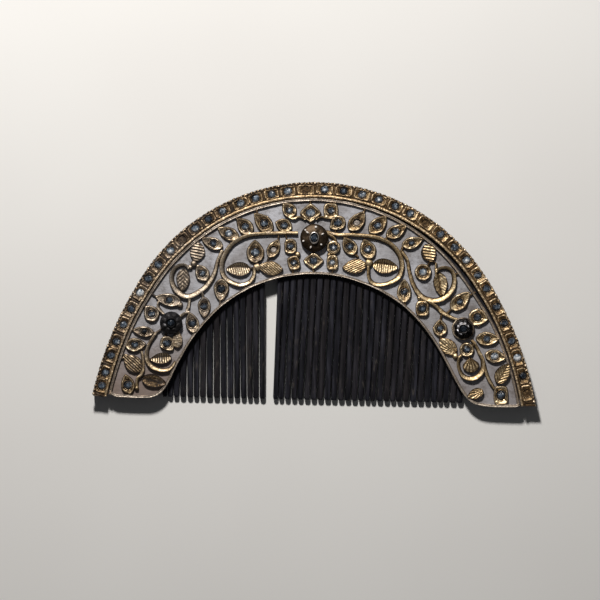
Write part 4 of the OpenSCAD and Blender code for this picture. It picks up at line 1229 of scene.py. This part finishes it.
# %% Chart of the border cells
# columns: shift along the rim, glint of the stone (None is an empty seat)
cells = [
    [0.6, 0.44], [-0.3, 0.46], [0, 0.40], [-0.6, 0.40], [-0.2, 0.50], [-0.1, 0.36], [0.3, 0.98], [0, 0.40],
    [0.1, 0.46], [0.6, 0.72], [0.3, None], [0.3, 0.62], [0, 0.26], [-0.3, 0.56], [0.4, 0.58], [-0.1, 0.46],
    [-0.3, 0.52], [-0.5, 0.62], [-0.4, None], [0, 0.50], [0.4, 0.16], [0.7, 0.58], [0.6, 0.40],
    [0.6, 0.42], [0.2, 0.50], [0.3, None], [0.4, 0.44], [0.8, 0.36], [0.5, 0.70], [0.7, 0.36], [0, 0.40],
    [0.6, 0.38], [0.35, 0.30], [0.55, 0.36], [0.3, 0.96], [0.3, 0.14], [0, None]]
# columns: length along the rim, inset of the line of the stones
stone_line = [[24, 2.2], [50, 2.2], [60, 2.1], [85, 2.1], [95, 2.3], [112, 2.3], [122, 2.05], [160, 1.95],
              [172, 1.75], [185, 1.95], [206, 1.95]]
cell_stone_radius = 1.08
first_cell_s, cell_pitch, pitch_growth = 24.8, 4.633, 0.00817
tile_gap = 0.22
tile_width = 2.98
cell_collar = 0.27
cell_rub = 0.82


def cell_s(i):
    shift = cells[i][0] if 0 <= i < len(cells) else 0
    return first_cell_s + cell_pitch * i + pitch_growth * i * i + shift


border_stones = new_stones()
chance = random.Random(23)
for i, (_, glint) in enumerate(cells):
    s = cell_s(i)
    x, y = rim(s, along_rim(s, stone_line))
    turn = rim_angle(s) - math.pi / 2
    long = (cell_s(i + 1) - cell_s(i - 1)) / 2 - tile_gap
    tile = long * chance.uniform(0.98, 1.0), tile_width * chance.uniform(0.97, 1.02)
    setting(border_work, x, y, turn + chance.uniform(-0.06, 0.06), cell_stone_radius,
            rounded_outline(*tile, 5.0, 56), chance, glint is None, chance.uniform(0.90, 1.02),
            cell_collar, cell_rub)
    if glint is not None:
        rose_cut(border_stones, x, y, metal_z + stone_seat, cell_stone_radius, 1.0, turn, glint, chance)
print(len(cells), "cells,", sum(glint is not None for _, glint in cells), "with a stone")

# %% Divider bars, each ending in a small bead at the grained edge
bar_half, bar_height = 0.27, 0.76
bar_insets = np.linspace(0.50, 3.45, 7)
bar_bead = [(0.36, 0, 0.1), (0.36, 0.7, 0.5), (0.27, 0.96, 0.9), (0.10, 1.08, 1.0)]
bar_margin = 0.6
bar_count = 0
for i in range(len(cells) + 1):
    s = (cell_s(i - 1) + cell_s(i)) / 2
    if start_s + bar_margin < s < end_s - bar_margin:
        bar = np.array([rim(s, d) for d in bar_insets])
        sweep(border_work, bar, [bar_half] * len(bar), bar_height, 0, chance.uniform(0.0, 0.5),
              section=bar_section)
        bead_x, bead_y = rim(s + chance.uniform(-0.1, 0.1), 0.52)
        turned(border_work, bead_x, bead_y, bar_bead, 14, 0.0, 0.9, 0.5)
        bar_count += 1
print(bar_count, "divider bars")

# %% Granules along the outer edge
granule_pitch = 1.05
granule_margin = 0.7
granule_count = 0
s = start_s + granule_margin
while s < end_s - granule_margin:
    radius = chance.uniform(0.22, 0.36)
    x, y = rim(s, radius + chance.uniform(0.21, 0.29))
    high = chance.uniform(0.72, 0.95)
    granule = [(radius, 0, 0.0), (radius, high - 0.24, 0.2), (radius * 0.72, high - 0.06, 0.50),
               (radius * 0.25, high, 0.75)]
    turned(border_work, x, y, granule, 12, 0.0, chance.random(), chance.uniform(0, 0.4))
    granule_count += 1
    s += granule_pitch * chance.uniform(0.75, 1.3)
print(granule_count, "granules")
make_piece("gilt_border", border_work, border_gilt, "border_band", hand=0.06)
make_stones("border_rose_cuts", border_stones, "border_stones")

# %% [markdown]
# ## The rosettes
#
# The middle rosette is a dark polished dome with six shallow flutes, an oval collar round its stone and
# seven bright studs. The two side rosettes are blackened, with eight lobes round a collar. On the left one
# the gaps between the lobes are filled almost level and all is dull, while on the right one the inner ends
# of the lobes and the collar are rubbed bright and given a painted highlight on the upper left, towards the
# lamp.

# %% The middle rosette
rosette_stones = new_stones()
chance = random.Random(5)
dome_radius = 3.78
dome_height = 1.7
dome_foot = 0.35
x, y = rosettes[0][:2]


def dome_z(d):
    return dome_foot + (dome_height - dome_foot) * math.sqrt(1 - (d / dome_radius) ** 2)


def fluted(row, depth):
    """Sinks a ring of the dome a little between its six ridges."""
    out = []
    for px, py, pz in row:
        hollow = 0.5 - 0.5 * math.cos(6 * (math.atan2(py, px) - math.radians(20)))
        out.append((px, py, pz - depth * hollow))
    return out


def stud(work, angle, distance, long, wide, proud, wear):
    """A small rounded stud on the dome, longer outwards than across."""
    a = math.radians(angle)
    sx, sy = x + distance * math.cos(a), y + distance * math.sin(a)
    rows = []
    for share, up in ((1.0, -0.35), (1.0, 0.1), (0.8, 0.6), (0.4, 1.0)):
        row = [(px * long * share, py * wide * share, z) for px, py, z in
               ring(1, dome_z(distance) + proud * up, 14)]
        rows.append(placed(row, sx, sy, a, seat_z))
    loft(work, rows, [wear * 0.3, wear * 0.7, wear, wear], 0.0)


def make_oval(points, first, across, along):
    """Stretches the points added since first about the middle of the dome."""
    for k in range(first, len(points)):
        px, py, pz = points[k]
        points[k] = (x + (px - x) * across, y + (py - y) * along, pz)


dome_work = new_work()
dome_sides, dome_rows = 64, 14
last_ring_angle = 64
flute_depth = 0.13
rows, wear = [placed(ring(dome_radius, 0, dome_sides), x, y, 0, seat_z)], [0.0]
for k in range(dome_rows):
    a = math.radians(last_ring_angle * k / (dome_rows - 1))
    d, up = dome_radius * math.cos(a), dome_foot + (dome_height - dome_foot) * math.sin(a)
    rows.append(placed(fluted(ring(d, up, dome_sides), flute_depth * math.sin(2 * a)), x, y, 0, seat_z))
    wear.append(0.26 + 0.16 * k / (dome_rows - 1))
loft(dome_work, rows, wear, 0.35)
first = len(dome_work["points"])
collar = [(1.62, 1.2, 0.0), (1.60, 1.62, 0.1), (1.54, 1.88, 0.5), (1.42, 2.06, 0.75), (1.26, 2.12, 0.75),
          (1.13, 2.0, 0.3), (1.08, 1.55, 0.0)]
turned(dome_work, x, y, collar, 40, seat_z, 0.0)
oval = 0.86, 1.12
make_oval(dome_work["points"], first, *oval)
# columns: angle, distance from the middle, half length outwards, half width, height, wear
studs = [[24, 2.45, 0.48, 0.26, 0.40, 1.1], [81, 2.9, 0.38, 0.38, 0.42, 1.4],
         [142, 2.3, 0.46, 0.28, 0.42, 1.4], [139, 3.15, 0.32, 0.28, 0.36, 1.2],
         [197, 3.05, 0.34, 0.30, 0.36, 1.2], [250, 2.7, 0.42, 0.26, 0.38, 1.1],
         [316, 2.65, 0.32, 0.28, 0.36, 1.1]]
for row in studs:
    stud(dome_work, *row)
make_piece("centre_dome", dome_work, bronze_finish, "rosette_centre")
rose_cut(rosette_stones, x, y, metal_z + seat_z + 1.5, 1.12, 0.62, 0.55, 0.20, chance)
make_oval(rosette_stones["points"], 0, *oval)

# %% The side rosettes
lobe_count, lobe_sides, lobe_rows = 8, 20, 8
lobe_share, lobes_out = 0.30, 0.68
lit_side = 145
collar_sides = 28
inward = [math.cos(2 * math.pi * n / lobe_sides) for n in range(lobe_sides)]


def lobed_rosette(name, x, y, radius, node, petal, body, dull, glint, base, filled):
    """Eight lobes round a collar and its stone.

    petal: wear on the inner ends of the lobes and on the collar, with a painted highlight strongest on the
    upper
    left, towards the lamp; body: wear elsewhere; base: radius of the disc under the lobes, as a share;
    filled:
    how high it fills the gaps between them.
    """
    work = new_work()
    base_profile = [(radius * base, 0, 0.0), (radius * base, filled * 0.8, body / 2),
                    (radius * 0.5, filled * 1.25, body / 2)]
    turned(work, x, y, base_profile, 40, seat_z, dull)
    lobe_radius = radius * lobe_share
    for k in range(lobe_count):
        a = 2 * math.pi * (k + 0.5) / lobe_count
        cx, cy = x + radius * lobes_out * math.cos(a), y + radius * lobes_out * math.sin(a)
        # facing paints a highlight on the lobes that point towards the lamp, on the upper left.
        facing = (0.5 + 0.5 * math.cos(a - math.radians(lit_side))) ** 0.5
        lit = petal * facing * chance.uniform(0.7, 1.15)
        rows, wear = [], []
        for j in range(lobe_rows):
            b = math.radians(max(0, 13 * (j - 1)))
            far, up = lobe_radius * math.cos(b), (0.5 + 0.75 * math.sin(b)) if j else 0.0
            row = [(px * far * 1.08, py * far, up + 0.14 * rise * (j > 3))
                   for (px, py, _), rise in zip(ring(1, 0, lobe_sides), inward)]
            rows.append(placed(row, cx, cy, a + math.pi, seat_z))
            wear.append([body + lit * (0.5 + 0.5 * share) ** 1.5 * (j > 1) for share in inward])
        loft(work, rows, wear, dull)
    # upper paints a highlight on the side of the collar towards the lamp, at 110 degrees.
    upper = 0.35 + 0.65 * toward(110, collar_sides)
    collar = [(1.42, 0.2, 0.0), (1.42, 1.2, 0.1), (1.36, 1.52, petal * 0.6 * upper),
              (1.22, 1.66, petal * 0.75 * upper), (1.08, 1.60, petal * 0.4 * upper), (1.02, 1.4, 0.0),
              (0.98, 1.05, 0.0)]
    turned(work, x, y, collar, collar_sides, seat_z, dull)
    make_piece(name, work, black_finish, node, hand=0.07)
    rose_cut(rosette_stones, x, y, metal_z + seat_z + 1.1, 1.05, 0.50, 0.1, glint, chance)


lobed_rosette("left_rosette", *rosettes[1][:2], 3.05, "rosette_left", petal=0.24, body=0.34, dull=1.0,
              glint=0.0, base=0.99, filled=1.0)
lobed_rosette("right_rosette", *rosettes[2][:2], 2.58, "rosette_right", petal=1.5, body=0.10, dull=0.2,
              glint=0.06, base=0.90, filled=0.56)
make_stones("rosette_rose_cuts", rosette_stones, "rosette_stones")

# %% [markdown]
# ## Floor, light and camera
#
# The comb is shown as it lies, from straight above. The main lamp is small and stands half a metre away, at
# the top of the picture and slightly to the left, so that the saw cuts stay in shadow. It lights the slopes
# that face it and leaves the others brown, which is what makes the relief readable. A pale room and a weak
# lamp on the other side keep the shadows open.

# %% Floor
def pale_floor():
    r = Recipe("pale floor")
    cloud = r.noise(0.006, 3.0)
    colour = r.ramp(cloud, (0.35, (0.80, 0.79, 0.775)), (0.65, (0.85, 0.845, 0.83)))
    return r.give(Base_Color=colour, Roughness=0.8, Specular_IOR_Level=0.2)


bpy.ops.mesh.primitive_plane_add(size=6.0, location=(0, 0, 0))
floor = bpy.context.object
floor.name = "floor"
floor.data.materials.append(pale_floor())

# %% Lights
def soft_light(name, place, size, power, colour):
    """A round lamp that points at the comb."""
    lamp = bpy.data.lights.new(name, "AREA")
    lamp.shape = "DISK"
    lamp.size = size
    lamp.energy = power
    lamp.color = colour
    holder = bpy.data.objects.new(name, lamp)
    bpy.context.scene.collection.objects.link(holder)
    holder.location = place
    holder.rotation_euler = (-Vector(place)).to_track_quat("-Z", "Y").to_euler()
    holder.visible_camera = False


warm_white = (1.0, 0.97, 0.93)
soft_light("key", (-0.08, 0.36, 0.345), 0.06, 2.9, warm_white)
soft_light("low fill", (0.15, -0.75, 0.45), 0.4, 0.08, warm_white)
room = bpy.data.worlds.new("pale room")
room.use_nodes = True
backdrop = room.node_tree.nodes["Background"]
backdrop.inputs["Color"].default_value = (0.86, 0.88, 0.92, 1)
backdrop.inputs["Strength"].default_value = 0.045
bpy.context.scene.world = room
bpy.context.scene.view_settings.view_transform = "Standard"
print("lamps:", [lamp.name for lamp in bpy.data.lights if lamp.users])

# %% Camera, straight above as in the photograph
camera_height = 1.2
view_width = 0.162
aim_x, aim_y = -3.73, -1.46
sensor_width = 36
lens = bpy.data.cameras.new("camera")
lens.sensor_width = sensor_width
lens.lens = sensor_width * (camera_height - metal_z * mm) / view_width
camera = bpy.data.objects.new("camera", lens)
bpy.context.scene.collection.objects.link(camera)
camera.location = (aim_x * mm, aim_y * mm, camera_height)
bpy.context.scene.camera = camera
print(f"camera {camera_height} m up with a {lens.lens:.0f} mm lens")

# %% [markdown]
# ## Sizes
#
# At the end the view layer is updated once more. The dressed comb must not be bigger than the
# imported one.

# %% Update the view layer
bpy.context.view_layer.update()
